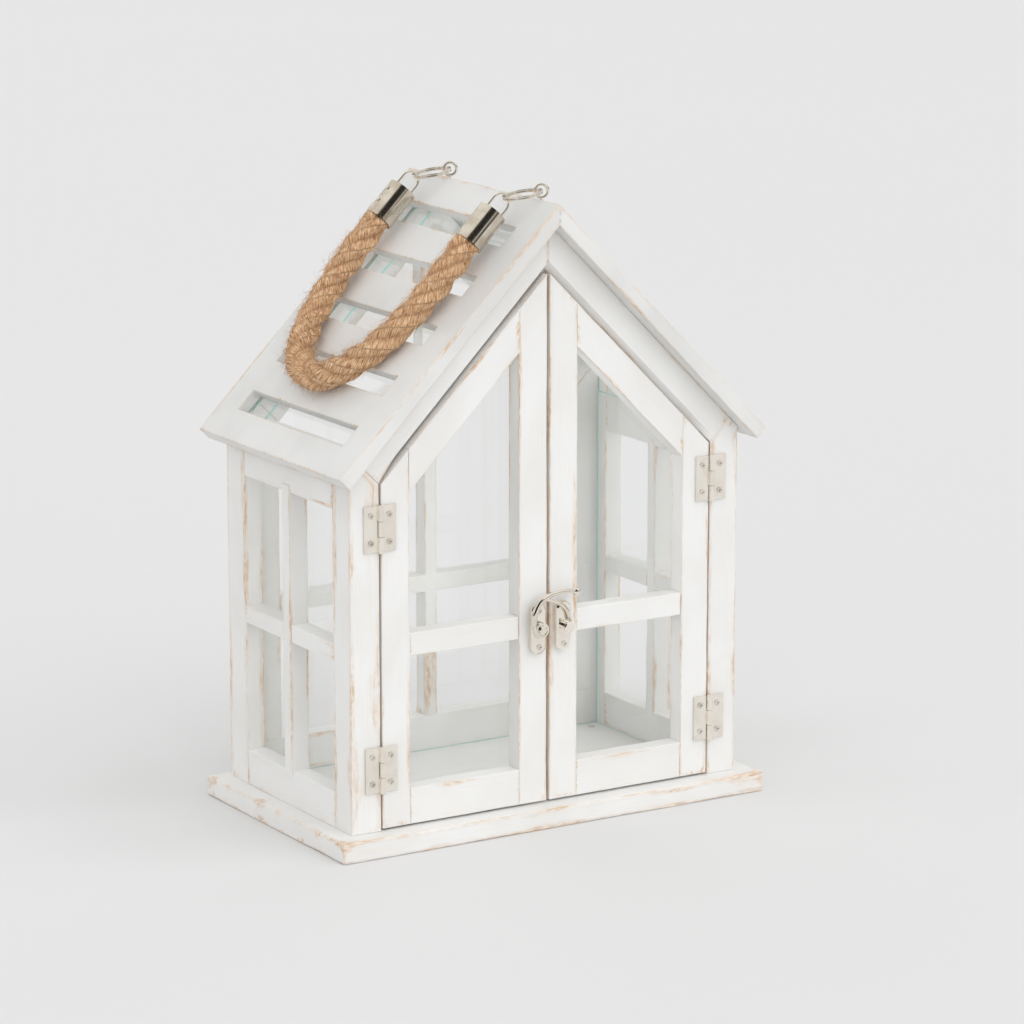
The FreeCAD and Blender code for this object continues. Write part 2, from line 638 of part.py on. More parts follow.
def hinge_leaf(side, place, away):
    """Leaf with its rolled knuckles, bored for the pin, and with its screw holes."""
    axis_x = side * DOORWAY_HALF
    low = place - HINGE_HEIGHT / 2
    free_edge = axis_x + side * away * HINGE_LEAF_WIDTH
    leaf = block((axis_x, free_edge), (FRONT - LEAF_THICKNESS, FRONT), (low, low + HINGE_HEIGHT))
    room = Part.makeCylinder(BARREL_RADIUS + KNUCKLE_GAP, HINGE_HEIGHT,
                             Vector(axis_x, HINGE_AXIS_Y, low))
    leaf = leaf.cut(room)
    for z0, z1 in knuckle_spans(place, away):
        centre = Vector(axis_x, HINGE_AXIS_Y, z0)
        knuckle = Part.makeCylinder(BARREL_RADIUS, z1 - z0, centre)
        web = block((axis_x + side * away * PIN_RADIUS, axis_x + side * away * 2 * BARREL_RADIUS),
                    (FRONT - LEAF_THICKNESS, FRONT - BARREL_STANDOFF), (z0, z1))
        leaf = leaf.fuse([knuckle, web])
    bore = Part.makeCylinder(PIN_RADIUS + PIN_CLEARANCE, HINGE_HEIGHT,
                             Vector(axis_x, HINGE_AXIS_Y, low))
    leaf = leaf.cut(bore).removeSplitter()
    for head in leaf_screw_heads(side, place, away):
        leaf = leaf.cut(screw_seat(head, Vector(0, 1, 0)))
    return leaf


def hinge_leaves(sides, away):
    """All the leaves of one kind."""
    return [hinge_leaf(side, place, away) for side in sides for place in hinge_places(side)]


def hinge_pins():
    """Pins with a thin head over each end of their barrel."""
    pins = []
    for side in (-1, 1):
        for place in hinge_places(side):
            foot = Vector(side * DOORWAY_HALF, HINGE_AXIS_Y, place - HINGE_HEIGHT / 2)
            up = Vector(0, 0, HINGE_HEIGHT)
            pin = cylinder(foot, foot + up, PIN_RADIUS)
            head = Vector(0, 0, PIN_HEAD)
            ends = [cylinder(foot - head, foot, BARREL_RADIUS),
                    cylinder(foot + up, foot + up + head, BARREL_RADIUS)]
            pins.append(pin.fuse(ends).removeSplitter())
    return pins


def leaf_screws(sides, away):
    """Screws of all the leaves of one kind."""
    heads = [head for side in sides for place in hinge_places(side)
             for head in leaf_screw_heads(side, place, away)]
    return [countersunk_screw(head, Vector(0, 1, 0)) for head in heads]


# ---- Latch -------------------------------------------------------------------------------------
def plate_screw_heads(side):
    """Screw heads on a latch plate, above and below its middle."""
    half = PLATE_SCREW_SPREAD / 2
    y = FRONT - PLATE_THICKNESS
    return [Vector(side * PLATE_OUT, y, LATCH_Z + step) for step in (-half, half)]


def latch_plate(side):
    """Cast plate with round ends and a bevelled front edge."""
    radius = PLATE_WIDTH / 2
    x = side * PLATE_OUT
    straight = PLATE_HEIGHT / 2 - radius
    low = LATCH_Z - straight
    high = LATCH_Z + straight
    edges = [Part.LineSegment(Vector(x + radius, FRONT, low), Vector(x + radius, FRONT, high)),
             Part.Arc(Vector(x + radius, FRONT, high), Vector(x, FRONT, high + radius),
                      Vector(x - radius, FRONT, high)),
             Part.LineSegment(Vector(x - radius, FRONT, high), Vector(x - radius, FRONT, low)),
             Part.Arc(Vector(x - radius, FRONT, low), Vector(x, FRONT, low - radius),
                      Vector(x + radius, FRONT, low))]
    outline = Part.Wire([edge.toShape() for edge in edges])
    plate = Part.Face(outline).extrude(Vector(0, -PLATE_THICKNESS, 0))
    front = FRONT - PLATE_THICKNESS
    rim = [edge for edge in plate.Edges
           if abs(edge.BoundBox.YMin - front) < 1e-6 and abs(edge.BoundBox.YMax - front) < 1e-6]
    plate = plate.makeChamfer(PLATE_BEVEL, rim)
    for head in plate_screw_heads(side):
        plate = plate.cut(screw_seat(head, Vector(0, 1, 0)))
    return plate


def catch_plate():
    """Plate on the right door with the mushroom stud that the hook drops behind."""
    foot = Vector(PLATE_OUT, FRONT - PLATE_THICKNESS / 2, LATCH_Z)
    tip = Vector(PLATE_OUT, HOOK_Y - HOOK_RADIUS - HOOK_GAP, LATCH_Z)
    neck = cylinder(foot, tip, STUD_RADIUS)
    head = Part.makeCylinder(STUD_HEAD_RADIUS, STUD_HEAD_HEIGHT, tip, Vector(0, -1, 0))
    head = head.makeChamfer(STUD_HEAD_HEIGHT / 3, head.Edges)
    return latch_plate(1).fuse([neck, head]).removeSplitter()


def latch_rivet():
    """Rivet that the hook turns on, through its eye and into the left door's plate."""
    pivot = Vector(-PLATE_OUT, FRONT - PLATE_THICKNESS, LATCH_Z)
    front = Vector(-PLATE_OUT, HOOK_Y - HOOK_RADIUS - PIN_CLEARANCE, LATCH_Z)
    shank = cylinder(pivot, front, RIVET_RADIUS)
    head = Part.makeCylinder(RIVET_HEAD_RADIUS, RIVET_HEAD_HEIGHT, front, Vector(0, -1, 0))
    head = head.makeChamfer(RIVET_HEAD_HEIGHT / 2, [head.Edges[0]])
    return shank.fuse(head).removeSplitter()


def latch_hook():
    """Hook with an eye on the rivet, a curved limb with a round knob, and the catching branch."""
    def place(point):
        return Vector(-PLATE_OUT + point[0], HOOK_Y, LATCH_Z + point[1])

    middle = place((0, 0))
    reach = Vector(0, HOOK_RADIUS, 0)
    eye = cylinder(middle - reach, middle + reach, HOOK_EYE_RADIUS)
    bottom = middle - reach + Vector(0, SCROLL_GROOVE_DEPTH, 0)
    inner, outer = [cylinder(middle - reach * 2, bottom, radius) for radius in SCROLL_GROOVE]
    eye = eye.cut(outer.cut(inner))
    limb = round_bar([place(point) for point in LIMB_ROUTE], HOOK_RADIUS)
    branch = round_bar([place(point) for point in BRANCH_ROUTE], BRANCH_RADIUS)
    stem = round_bar([place(point) for point in STEM_ROUTE], STEM_RADIUS)
    ends = [Part.makeSphere(STEM_RADIUS, place(STEM_ROUTE[end])) for end in (0, -1)]
    knob = Part.makeSphere(KNOB_RADIUS, place(LIMB_ROUTE[-1]))
    tip = Part.makeSphere(BRANCH_RADIUS, place(BRANCH_ROUTE[-1]))
    hook = eye.fuse([limb, stem, branch, knob, tip] + ends)
    return hook.cut(cylinder(middle - reach * 2, middle + reach * 2, RIVET_RADIUS + PIN_CLEARANCE))


# ---- Rope handle -------------------------------------------------------------------------------
def rope_points():
    """The rope's route as points in space."""
    return [on_slope(*point) for point in ROPE_ROUTE]


def ferrule_ends():
    """For each ferrule: its open mouth, its capped end, and the direction out of the cap."""
    points = rope_points()
    up_slope = Vector(COS_PITCH, 0, SIN_PITCH)
    return [(mouth, mouth + up_slope * FERRULE_LENGTH, up_slope)
            for mouth in (points[0], points[-1])]


def ferrules():
    """Metal cups crimped on the rope's ends, with two holes in the cap for the loop's legs."""
    cups = []
    for (mouth, cap, out), legs in zip(ferrule_ends(), loop_legs()):
        cup = cylinder(mouth, cap, FERRULE_RADIUS)
        bore = cylinder(mouth, cap - out * FERRULE_CAP, FERRULE_RADIUS - FERRULE_WALL)
        cup = cup.cut(bore)
        for low, high in legs:
            cup = cup.cut(cylinder(low - out, high, LOOP_WIRE_RADIUS))
        cups.append(cup.cut(ferrule_rivets()))
    return cups


def ferrule_rivets():
    """Round rivets through the ferrules into the rope: from below on the front one, from above
    on the back one."""
    rivets = []
    normal = Vector(-SIN_PITCH, 0, COS_PITCH)
    for (_, cap, out), facing in zip(ferrule_ends(), (-1, 1)):
        for distance in FERRULE_RIVETS:
            outward = normal * facing
            middle = cap - out * distance
            root = middle + outward * (FERRULE_RADIUS - FERRULE_WALL - FERRULE_RIVET_DEPTH)
            head = middle + outward * (FERRULE_RADIUS + FERRULE_RIVET_HEIGHT)
            rivets.append(cylinder(root, head, FERRULE_RIVET_RADIUS))
    return rivets


def loop_legs():
    """For each wire loop: its two legs, each from inside the cap to the start of the bend."""
    normal = Vector(-SIN_PITCH, 0, COS_PITCH) * LOOP_HALF_WIDTH
    legs = []
    for _, cap, out in ferrule_ends():
        low = cap - out * FERRULE_CAP
        high = cap + out * (LOOP_REACH + LOOP_PLAY - LOOP_HALF_WIDTH)
        legs.append([(low + normal, high + normal), (low - normal, high - normal)])
    return legs


def ferrule_loops():
    """Wire loops that stand out of the ferrules: two legs and a half-round end."""
    loops = []
    for (first, second), (_, _, out) in zip(loop_legs(), ferrule_ends()):
        top = (first[1] + second[1]) * 0.5 + out * LOOP_HALF_WIDTH
        edges = [Part.LineSegment(first[0], first[1]), Part.Arc(first[1], top, second[1]),
                 Part.LineSegment(second[1], second[0])]
        wire = Part.Wire([edge.toShape() for edge in edges])
        section = Part.Wire(Part.makeCircle(LOOP_WIRE_RADIUS, first[0], out))
        loops.append(wire.makePipeShell([section], True, False))
    return loops


def ring_frames():
    """For each split ring: its centre, its unit vector towards the eye, and its normal."""
    turn = math.radians(RING_TURN)
    tilt = math.radians(RING_TILT)
    to_eye = Vector(math.cos(turn) * math.cos(tilt), -math.sin(turn) * math.cos(tilt),
                    math.sin(tilt))
    across = Vector(math.sin(turn), math.cos(turn), 0)
    frames = []
    for _, cap, out in ferrule_ends():
        loop_point = cap + out * LOOP_REACH
        frames.append((loop_point + to_eye * RING_RADIUS, to_eye, to_eye.cross(across)))
    return frames


def split_rings():
    """Rings that join the wire loops to the screw eyes."""
    rings = []
    for centre, _, normal in ring_frames():
        outer = RING_RADIUS + RING_WIRE_WIDTH / 2
        inner = RING_RADIUS - RING_WIRE_WIDTH / 2
        foot = centre - normal * (RING_WIRE_HEIGHT / 2)
        ring = Part.makeCylinder(outer, RING_WIRE_HEIGHT, foot, normal)
        rings.append(ring.cut(Part.makeCylinder(inner, RING_WIRE_HEIGHT, foot, normal)))
    return rings


def eye_centres():
    """Middles of the screw eyes, where the rings' wires pass through them."""
    return [centre + to_eye * RING_RADIUS for centre, to_eye, _ in ring_frames()]


def eye_shank(eye):
    """Threaded shank of a screw eye, down into the roof board."""
    surface = RIDGE - abs(eye.x) * RISE
    foot = Vector(eye.x, eye.y, surface - EYE_SHANK_DEPTH)
    top = Vector(eye.x, eye.y, eye.z - EYE_RADIUS)
    return cylinder(foot, top, EYE_WIRE_RADIUS)


def screw_eyes():
    """Screw eyes beside the ridge, each turned square to its ring's wire."""
    turn = math.radians(RING_TURN)
    facing = Vector(math.sin(turn), math.cos(turn), 0)
    eyes = []
    for eye in eye_centres():
        loop = Part.makeTorus(EYE_RADIUS, EYE_WIRE_RADIUS, eye, facing)
        eyes.append(loop.fuse(eye_shank(eye)))
    return eyes


def handle_rope():
    """Rope of the handle: a tube along its route, with its ends gripped and riveted in the ferrules."""
    points = rope_points()
    wire, radii = route_wire(points)
    section = Part.Wire(Part.makeCircle(ROPE_DIAMETER / 2, points[0], points[1] - points[0]))
    tube = wire.makePipeShell([section], True, False)
    area = math.pi * ROPE_DIAMETER ** 2 / 4
    print("rope: length %.1f mm, volume / (section x length) %.4f" %
          (wire.Length, tube.Volume / (area * wire.Length)))
    print("rope: bend radii in diameters", [round(radius / ROPE_DIAMETER, 2) for radius in radii])
    ends = []
    for mouth, cap, out in ferrule_ends():
        ends.append(cylinder(mouth - out, cap - out * FERRULE_CAP, FERRULE_RADIUS - FERRULE_WALL))
    return tube.fuse(ends).cut(ferrule_rivets())


# ---- The whole lantern -------------------------------------------------------------------------
def sided_parts(name, side):
    """Every part that there is one of on each side."""
    return {
        name + "_front_post": front_post(side),
        name + "_front_rake": front_rake(side),
        name + "_wall_back_stile": side_back_stile(side),
        name + "_wall_bottom_rail": side_bottom_rail(side),
        name + "_wall_top_rail": side_top_rail(side),
        name + "_wall_muntin": side_muntin(side),
        name + "_wall_crossbar": side_crossbar(side),
        name + "_wall_glass": side_glass(side),
        name + "_back_stile": back_stile(side),
        name + "_back_rake": back_rake(side),
        name + "_roof_board": roof_board(side),
        name + "_roof_glass": roof_glass(side),
        name + "_door_hinge_stile": hinge_stile(side),
        name + "_door_meeting_stile": meeting_stile(side),
        name + "_door_bottom_rail": door_bottom_rail(side),
        name + "_door_crossbar": door_crossbar(side),
        name + "_door_top_rail": door_top_rail(side),
        name + "_door_glass": door_glass(side),
        name + "_door_hinge_leaves": hinge_leaves((side,), -1),
        name + "_door_screws": leaf_screws((side,), -1) + [
            countersunk_screw(head, Vector(0, 1, 0)) for head in plate_screw_heads(side)],
    }


def all_parts():
    """Every part by name; a list holds the separate solids of one part file."""
    parts = {"base_board": base_board(), "floor_screws": floor_screws()}
    parts.update(sided_parts("left", -1))
    parts.update(sided_parts("right", 1))
    parts.update({
        "back_bottom_rail": back_bottom_rail(),
        "back_muntin": back_muntin(),
        "back_crossbar": back_crossbar(),
        "back_glass": back_glass(),
        "post_hinge_leaves": hinge_leaves((-1, 1), 1),
        "post_hinge_screws": leaf_screws((-1, 1), 1),
        "hinge_pins": hinge_pins(),
        "latch_plate": latch_plate(-1),
        "latch_rivet": latch_rivet(),
        "latch_hook": latch_hook(),
        "catch_plate": catch_plate(),
        "screw_eyes": screw_eyes(),
        "split_rings": split_rings(),
        "ferrule_loops": ferrule_loops(),
        "ferrules": ferrules(),
        "ferrule_rivets": ferrule_rivets(),
        "handle_rope": handle_rope(),
    })
    return parts


def write_parts():
    """Write one STEP file for each part."""
    os.makedirs("parts", exist_ok=True)
    for name, shape in all_parts().items():
        solids = shape if isinstance(shape, list) else [shape]
        whole = Part.makeCompound(solids) if len(solids) > 1 else solids[0]
        whole.exportStep("parts/%s.step" % name)


write_parts()
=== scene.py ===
"""Looks of the house-shaped candle lantern: worn white boards, glass, nickel hardware, jute handle.

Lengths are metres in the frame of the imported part: +Z up, +Y towards the back, +X to the right of
the doors. Each sub-assembly is a class that builds its own pieces and dresses them.
"""
import json
import logging
import math
from collections.abc import Iterable
from dataclasses import dataclass, field
from enum import Enum

import bpy
import numpy as np
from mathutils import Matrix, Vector

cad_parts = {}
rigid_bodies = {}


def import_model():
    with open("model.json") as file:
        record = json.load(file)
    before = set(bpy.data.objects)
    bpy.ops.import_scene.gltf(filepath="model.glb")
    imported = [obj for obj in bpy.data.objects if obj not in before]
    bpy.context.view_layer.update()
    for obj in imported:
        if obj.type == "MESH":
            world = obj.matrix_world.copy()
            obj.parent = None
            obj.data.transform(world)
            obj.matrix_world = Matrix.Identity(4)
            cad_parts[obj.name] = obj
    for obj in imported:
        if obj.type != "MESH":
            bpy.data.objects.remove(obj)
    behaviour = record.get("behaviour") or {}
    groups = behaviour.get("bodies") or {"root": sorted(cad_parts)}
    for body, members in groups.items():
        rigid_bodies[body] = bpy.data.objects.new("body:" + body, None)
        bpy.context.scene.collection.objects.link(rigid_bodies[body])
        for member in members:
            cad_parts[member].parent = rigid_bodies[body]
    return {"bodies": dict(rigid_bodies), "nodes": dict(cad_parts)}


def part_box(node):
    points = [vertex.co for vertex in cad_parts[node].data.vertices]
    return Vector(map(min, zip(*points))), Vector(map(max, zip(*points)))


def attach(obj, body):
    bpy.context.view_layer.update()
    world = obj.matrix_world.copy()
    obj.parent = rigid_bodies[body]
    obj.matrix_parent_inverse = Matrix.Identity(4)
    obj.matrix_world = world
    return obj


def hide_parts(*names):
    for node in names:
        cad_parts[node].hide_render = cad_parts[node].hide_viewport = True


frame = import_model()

log = logging.getLogger("lantern")
MM = 0.001
SIDES = (("left", -1.0), ("right", 1.0))
PITCH = math.radians(45.0)
Colour = tuple[float, float, float]


# ---- Node trees --------------------------------------------------------------------------------
class Graph:
    """Short way to add the nodes of one tree and join their sockets."""

    def __init__(self, tree: bpy.types.NodeTree) -> None:
        """Keep the tree, emptied of its first nodes."""
        self.tree = tree
        tree.nodes.clear()

    def node(self, kind: str, inputs: dict | None = None, **settings: object) -> bpy.types.Node:
        """Add a node.

        Args:
            kind: The node's Blender type, such as "ShaderNodeMath".
            inputs: Values or output sockets by input name or number.
            settings: Properties set before the inputs, such as operation="ADD".

        Returns:
            The new node.
        """
        made = self.tree.nodes.new(kind)
        for name, value in settings.items():
            setattr(made, name, value)
        for name, value in (inputs or {}).items():
            if isinstance(value, bpy.types.NodeSocket):
                self.tree.links.new(value, made.inputs[name])
            else:
                made.inputs[name].default_value = value
        return made

    def math(self, operation: str, first: object, second: object = 0.0,
             clamp: bool = False) -> bpy.types.NodeSocket:
        """Result of one arithmetic step on sockets or numbers."""
        step = self.node("ShaderNodeMath", {0: first, 1: second}, operation=operation, use_clamp=clamp)
        return step.outputs[0]

    def noise(self, vector: object, scale: float, detail: float = 2.0,
              stretch: Colour = (1.0, 1.0, 1.0)) -> bpy.types.NodeSocket:
        """Noise from 0 to 1 over a coordinate, which `stretch` multiplies first."""
        mapping = self.node("ShaderNodeMapping", {"Vector": vector, "Scale": stretch})
        noise = self.node("ShaderNodeTexNoise",
                          {"Vector": mapping.outputs[0], "Scale": scale, "Detail": detail})
        return noise.outputs[0]

    def ramp(self, value: object, low: float, high: float) -> bpy.types.NodeSocket:
        """Smooth step of a value, from 0 at `low` to 1 at `high`."""
        step = self.node("ShaderNodeMapRange", {0: value, 1: low, 2: high},
                         interpolation_type="SMOOTHSTEP")
        return step.outputs[0]

    def mix(self, share: object, first: object, second: object) -> bpy.types.NodeSocket:
        """Colour between two colours or colour sockets."""
        made = self.node("ShaderNodeMix", data_type="RGBA")
        for socket, value in ((made.inputs[0], share), (made.inputs[6], first), (made.inputs[7], second)):
            if isinstance(value, bpy.types.NodeSocket):
                self.tree.links.new(value, socket)
            elif isinstance(value, (int, float)):
                socket.default_value = value
            else:
                socket.default_value = (*value, 1.0)
        return made.outputs[2]

    def bump(self, height: object, strength: float, distance: float) -> bpy.types.NodeSocket:
        """Normal bent by a height that feeds a Bump node."""
        bump = self.node("ShaderNodeBump",
                         {"Height": height, "Strength": strength, "Distance": distance})
        return bump.outputs[0]

    def finish(self, shader: bpy.types.NodeSocket) -> None:
        """Join a shader to the material's output."""
        self.node("ShaderNodeOutputMaterial", {"Surface": shader})


def new_group(name: str, inputs: dict[str, str],
              outputs: dict[str, str]) -> tuple[Graph, bpy.types.Node]:
    """Empty shader node group with named sockets.

    Args:
        name: The group's name.
        inputs: Socket types by input name.
        outputs: Socket types by output name.

    Returns:
        The group's graph and its input node.
    """
    tree = bpy.data.node_groups.new(name, "ShaderNodeTree")
    for direction, sockets in (("INPUT", inputs), ("OUTPUT", outputs)):
        for label, kind in sockets.items():
            tree.interface.new_socket(label, in_out=direction, socket_type=kind)
    graph = Graph(tree)
    return graph, graph.node("NodeGroupInput")


def grain_group() -> bpy.types.NodeTree:
    """Group whose value varies slowly along a fibre and fast across it."""
    graph, entry = new_group("long_grain",
                             {"Grain": "NodeSocketVector", "Fineness": "NodeSocketFloat"},
                             {"Streak": "NodeSocketFloat", "Fleck": "NodeSocketFloat"})
    long_way = graph.node("ShaderNodeMapping", {"Vector": entry.outputs[0], "Scale": (0.06, 1.0, 1.0)})
    streak = graph.node("ShaderNodeTexNoise", {"Vector": long_way.outputs[0],
                                               "Scale": entry.outputs[1], "Detail": 4.0})
    short_way = graph.node("ShaderNodeMapping", {"Vector": entry.outputs[0], "Scale": (0.3, 1.0, 1.0)})
    fleck = graph.node("ShaderNodeTexNoise", {"Vector": short_way.outputs[0],
                                              "Scale": entry.outputs[1], "Detail": 2.0})
    graph.node("NodeGroupOutput", {0: streak.outputs[0], 1: fleck.outputs[0]})
    return graph.tree


def wear_group() -> bpy.types.NodeTree:
    """Group whose mask is 1 at a board's edges and fades out over a band of changing width.

    The band's width is the amount times a slow noise, plus a little fine noise. The mask falls
    smoothly where the distance to the edge passes that width, and long streaks thin it.
    """
    graph, entry = new_group("edge_wear",
                             {"Edge": "NodeSocketFloat", "Grain": "NodeSocketVector",
                              "Amount": "NodeSocketFloat"},
                             {"Mask": "NodeSocketFloat", "Halo": "NodeSocketFloat"})
    slow = graph.ramp(graph.noise(entry.outputs[1], 20.0, 2.0, (0.8, 2.6, 2.6)), 0.42, 0.74)
    fine = graph.noise(entry.outputs[1], 430.0, 3.0, (0.07, 1.0, 1.0))
    reach = graph.math("MULTIPLY", slow, entry.outputs[2])
    width = graph.math("ADD", reach, graph.math("MULTIPLY", graph.math("SUBTRACT", fine, 0.36), 1.5))
    inside = graph.math("SUBTRACT", width, entry.outputs[0])
    streaks = graph.math("ADD", 0.32, graph.math("MULTIPLY", graph.ramp(fine, 0.36, 0.62), 0.6))
    mask = graph.math("MULTIPLY", graph.ramp(inside, -1.1, 1.3), streaks)
    halo = graph.ramp(inside, -7.0, 0.5)
    graph.node("NodeGroupOutput", {0: mask, 1: halo})
    return graph.tree


@dataclass(frozen=True)
class PaintedWood:
    """White paint, brushed on thin and rubbed through to light wood along the edges."""

    name: str
    paint: Colour = (0.845, 0.843, 0.830)
    thin_paint: Colour = (0.800, 0.792, 0.772)
    wood: Colour = (0.640, 0.445, 0.290)
    pale_wood: Colour = (0.820, 0.665, 0.510)
    wear: float = 2.4
    show_through: float = 0.30

    def material(self, groups: dict[str, bpy.types.NodeTree]) -> bpy.types.Material:
        """Build the finish from the grain and wear groups, the board's edge distance and its grain."""
        made = bpy.data.materials.new(self.name)
        made.use_nodes = True
        graph = Graph(made.node_tree)
        edge = graph.node("ShaderNodeAttribute", attribute_name="edge").outputs["Fac"]
        grain = graph.node("ShaderNodeAttribute", attribute_name="grain").outputs["Vector"]
        lines = graph.node("ShaderNodeGroup", {}, node_tree=groups["grain"])
        lines.inputs["Fineness"].default_value = 620.0
        worn = graph.node("ShaderNodeGroup", {}, node_tree=groups["wear"])
        worn.inputs["Amount"].default_value = self.wear
        graph.tree.links.new(edge, worn.inputs["Edge"])
        for group in (lines, worn):
            graph.tree.links.new(grain, group.inputs["Grain"])
        cloud = graph.noise(grain, 16.0, 3.0)
        coat = graph.mix(graph.ramp(cloud, 0.35, 0.68), self.paint, self.thin_paint)
        streak = graph.ramp(lines.outputs["Streak"], 0.50, 0.78)
        seen = graph.math("MULTIPLY", streak, graph.math("ADD", worn.outputs["Halo"], 0.16))
        coat = graph.mix(graph.math("MULTIPLY", seen, self.show_through, True), coat, self.pale_wood)
        timber = graph.mix(graph.ramp(lines.outputs["Fleck"], 0.35, 0.62), self.pale_wood, self.wood)
        bare = graph.math("MULTIPLY", worn.outputs["Mask"],
                          graph.math("ADD", 0.45, lines.outputs["Fleck"]), True)
        colour = graph.mix(bare, coat, timber)
        height = graph.math("SUBTRACT", graph.math("MULTIPLY", lines.outputs["Streak"], 0.5),
                            graph.math("MULTIPLY", worn.outputs["Mask"], 0.35))
        rough = graph.math("ADD", 0.46, graph.math("MULTIPLY", worn.outputs["Mask"], 0.3))
        shader = graph.node("ShaderNodeBsdfPrincipled",
                            {"Base Color": colour, "Roughness": rough,
                             "Normal": graph.bump(height, 0.35, 0.0006)})
        graph.finish(shader.outputs[0])
        return made


@dataclass(frozen=True)
class PaneGlass:
    """Clear sheet glass whose ground edges are green."""

    name: str
    faces: Colour
    tint: Colour = (0.994, 0.999, 0.996)
    edge_green: Colour = (0.22, 0.66, 0.58)
    edge_pale: Colour = (0.48, 0.80, 0.74)

    def material(self) -> bpy.types.Material:
        """Build the glass, matt and green where the normal is square to the sheet's faces."""
        made = bpy.data.materials.new(self.name)
        made.use_nodes = True
        graph = Graph(made.node_tree)
        place = graph.node("ShaderNodeTexCoord")
        facing = graph.node("ShaderNodeVectorMath", {0: place.outputs["Normal"], 1: self.faces},
                            operation="DOT_PRODUCT").outputs["Value"]
        on_edge = graph.math("LESS_THAN", graph.math("ABSOLUTE", facing), 0.5)
        sway = graph.noise(place.outputs["Object"], 14.0, 1.0)
        glass = graph.node("ShaderNodeBsdfPrincipled",
                           {"Base Color": (*self.tint, 1.0), "Roughness": 0.0, "IOR": 1.5,
                            "Transmission Weight": 1.0, "Normal": graph.bump(sway, 0.12, 0.0008)})
        speckle = graph.noise(place.outputs["Object"], 900.0, 2.0)
        ground = graph.node("ShaderNodeBsdfPrincipled",
                            {"Base Color": graph.mix(speckle, self.edge_green, self.edge_pale),
                             "Roughness": 0.45})
        sheet = graph.node("ShaderNodeMixShader", {0: on_edge, 1: glass.outputs[0], 2: ground.outputs[0]})
        clear = graph.node("ShaderNodeBsdfTransparent", {"Color": (0.990, 0.993, 0.991, 1.0)})
        path = graph.node("ShaderNodeLightPath")
        through = graph.math("MAXIMUM", path.outputs["Is Shadow Ray"], path.outputs["Is Diffuse Ray"])
        both = graph.node("ShaderNodeMixShader", {0: through, 1: sheet.outputs[0], 2: clear.outputs[0]})
        graph.finish(both.outputs[0])
        return made


@dataclass(frozen=True)
class PlatedMetal:
    """Nickel plate with handling marks."""

    name: str
    bright: Colour = (0.900, 0.845, 0.760)
    dull: Colour = (0.790, 0.725, 0.640)
    polish: float = 0.06
    haze: float = 0.10

    def material(self) -> bpy.types.Material:
        """Build the metal: colour and roughness follow a cloudy noise, with fine scratches."""
        made = bpy.data.materials.new(self.name)
        made.use_nodes = True
        graph = Graph(made.node_tree)
        place = graph.node("ShaderNodeTexCoord").outputs["Object"]
        cloud = graph.noise(place, 120.0, 3.0)
        scratch = graph.noise(place, 900.0, 2.0, (1.0, 1.0, 0.15))
        colour = graph.mix(graph.ramp(cloud, 0.35, 0.72), self.bright, self.dull)
        rough = graph.math("ADD", self.polish, graph.math("MULTIPLY", cloud, self.haze))
        shader = graph.node("ShaderNodeBsdfPrincipled",
                            {"Base Color": colour, "Metallic": 1.0, "Roughness": rough,
                             "Normal": graph.bump(scratch, 0.10, 0.00008)})
        graph.finish(shader.outputs[0])
        return made


@dataclass(frozen=True)
class JuteYarn:
    """Tan jute, paler on its high fibres, with painted shade that darkens the grooves between its strands
    and yarns.
    """

    name: str = "jute_yarn"
    middle: Colour = (0.680, 0.395, 0.205)
    dark: Colour = (0.330, 0.145, 0.058)
    light: Colour = (0.930, 0.700, 0.460)

    def material(self) -> bpy.types.Material:
        """Build the yarn from the strand's own coordinates: along it, round it, and depth in the lay, which
        sets the painted shade in the grooves.
        """
        made = bpy.data.materials.new(self.name)
        made.use_nodes = True
        graph = Graph(made.node_tree)
        lay = graph.node("ShaderNodeAttribute", attribute_name="lay").outputs["Vector"]
        furrow = graph.node("ShaderNodeAttribute", attribute_name="furrow").outputs["Fac"]
        fibre = graph.noise(lay, 1.0, 3.0, (0.20, 1.6, 1.0))
        patch = graph.noise(lay, 0.16, 2.0)
        tan = graph.mix(graph.ramp(fibre, 0.34, 0.48), self.dark, self.middle)
        tan = graph.mix(graph.ramp(fibre, 0.48, 0.62), tan, self.light)
        # Painted shade: deep between the strands, and a little in the grooves between yarns, the colour
        # goes towards the dark tan.
        shade = graph.math("MULTIPLY", furrow, 0.55)
        colour = graph.mix(shade, tan, self.dark)
        faded = graph.math("MULTIPLY", graph.ramp(patch, 0.5, 0.75), 0.3)
        colour = graph.mix(faded, colour, self.light)
        shader = graph.node("ShaderNodeBsdfPrincipled",
                            {"Base Color": colour, "Roughness": 0.85,
                             "Normal": graph.bump(fibre, 1.0, 0.0012)})
        graph.finish(shader.outputs[0])
        return made


# ---- Mesh helpers ------------------------------------------------------------------------------
def waves(points: np.ndarray, length: float, seed: int) -> np.ndarray:
    """Smooth values from about -1 to 1: the mean of seven sines of seeded directions and phases.

    Args:
        points: Places, one row each.
        length: Usual distance from one crest to the next.
        seed: Number that fixes the draw.

    Returns:
        One value for each place.
    """
    rng = np.random.default_rng(seed)
    turns = rng.normal(size=(7, 3)) * (2 * math.pi / length) / math.sqrt(3)
    starts = rng.uniform(0, 2 * math.pi, 7)
    return np.sin(points @ turns.T + starts).mean(axis=1) * 2.0


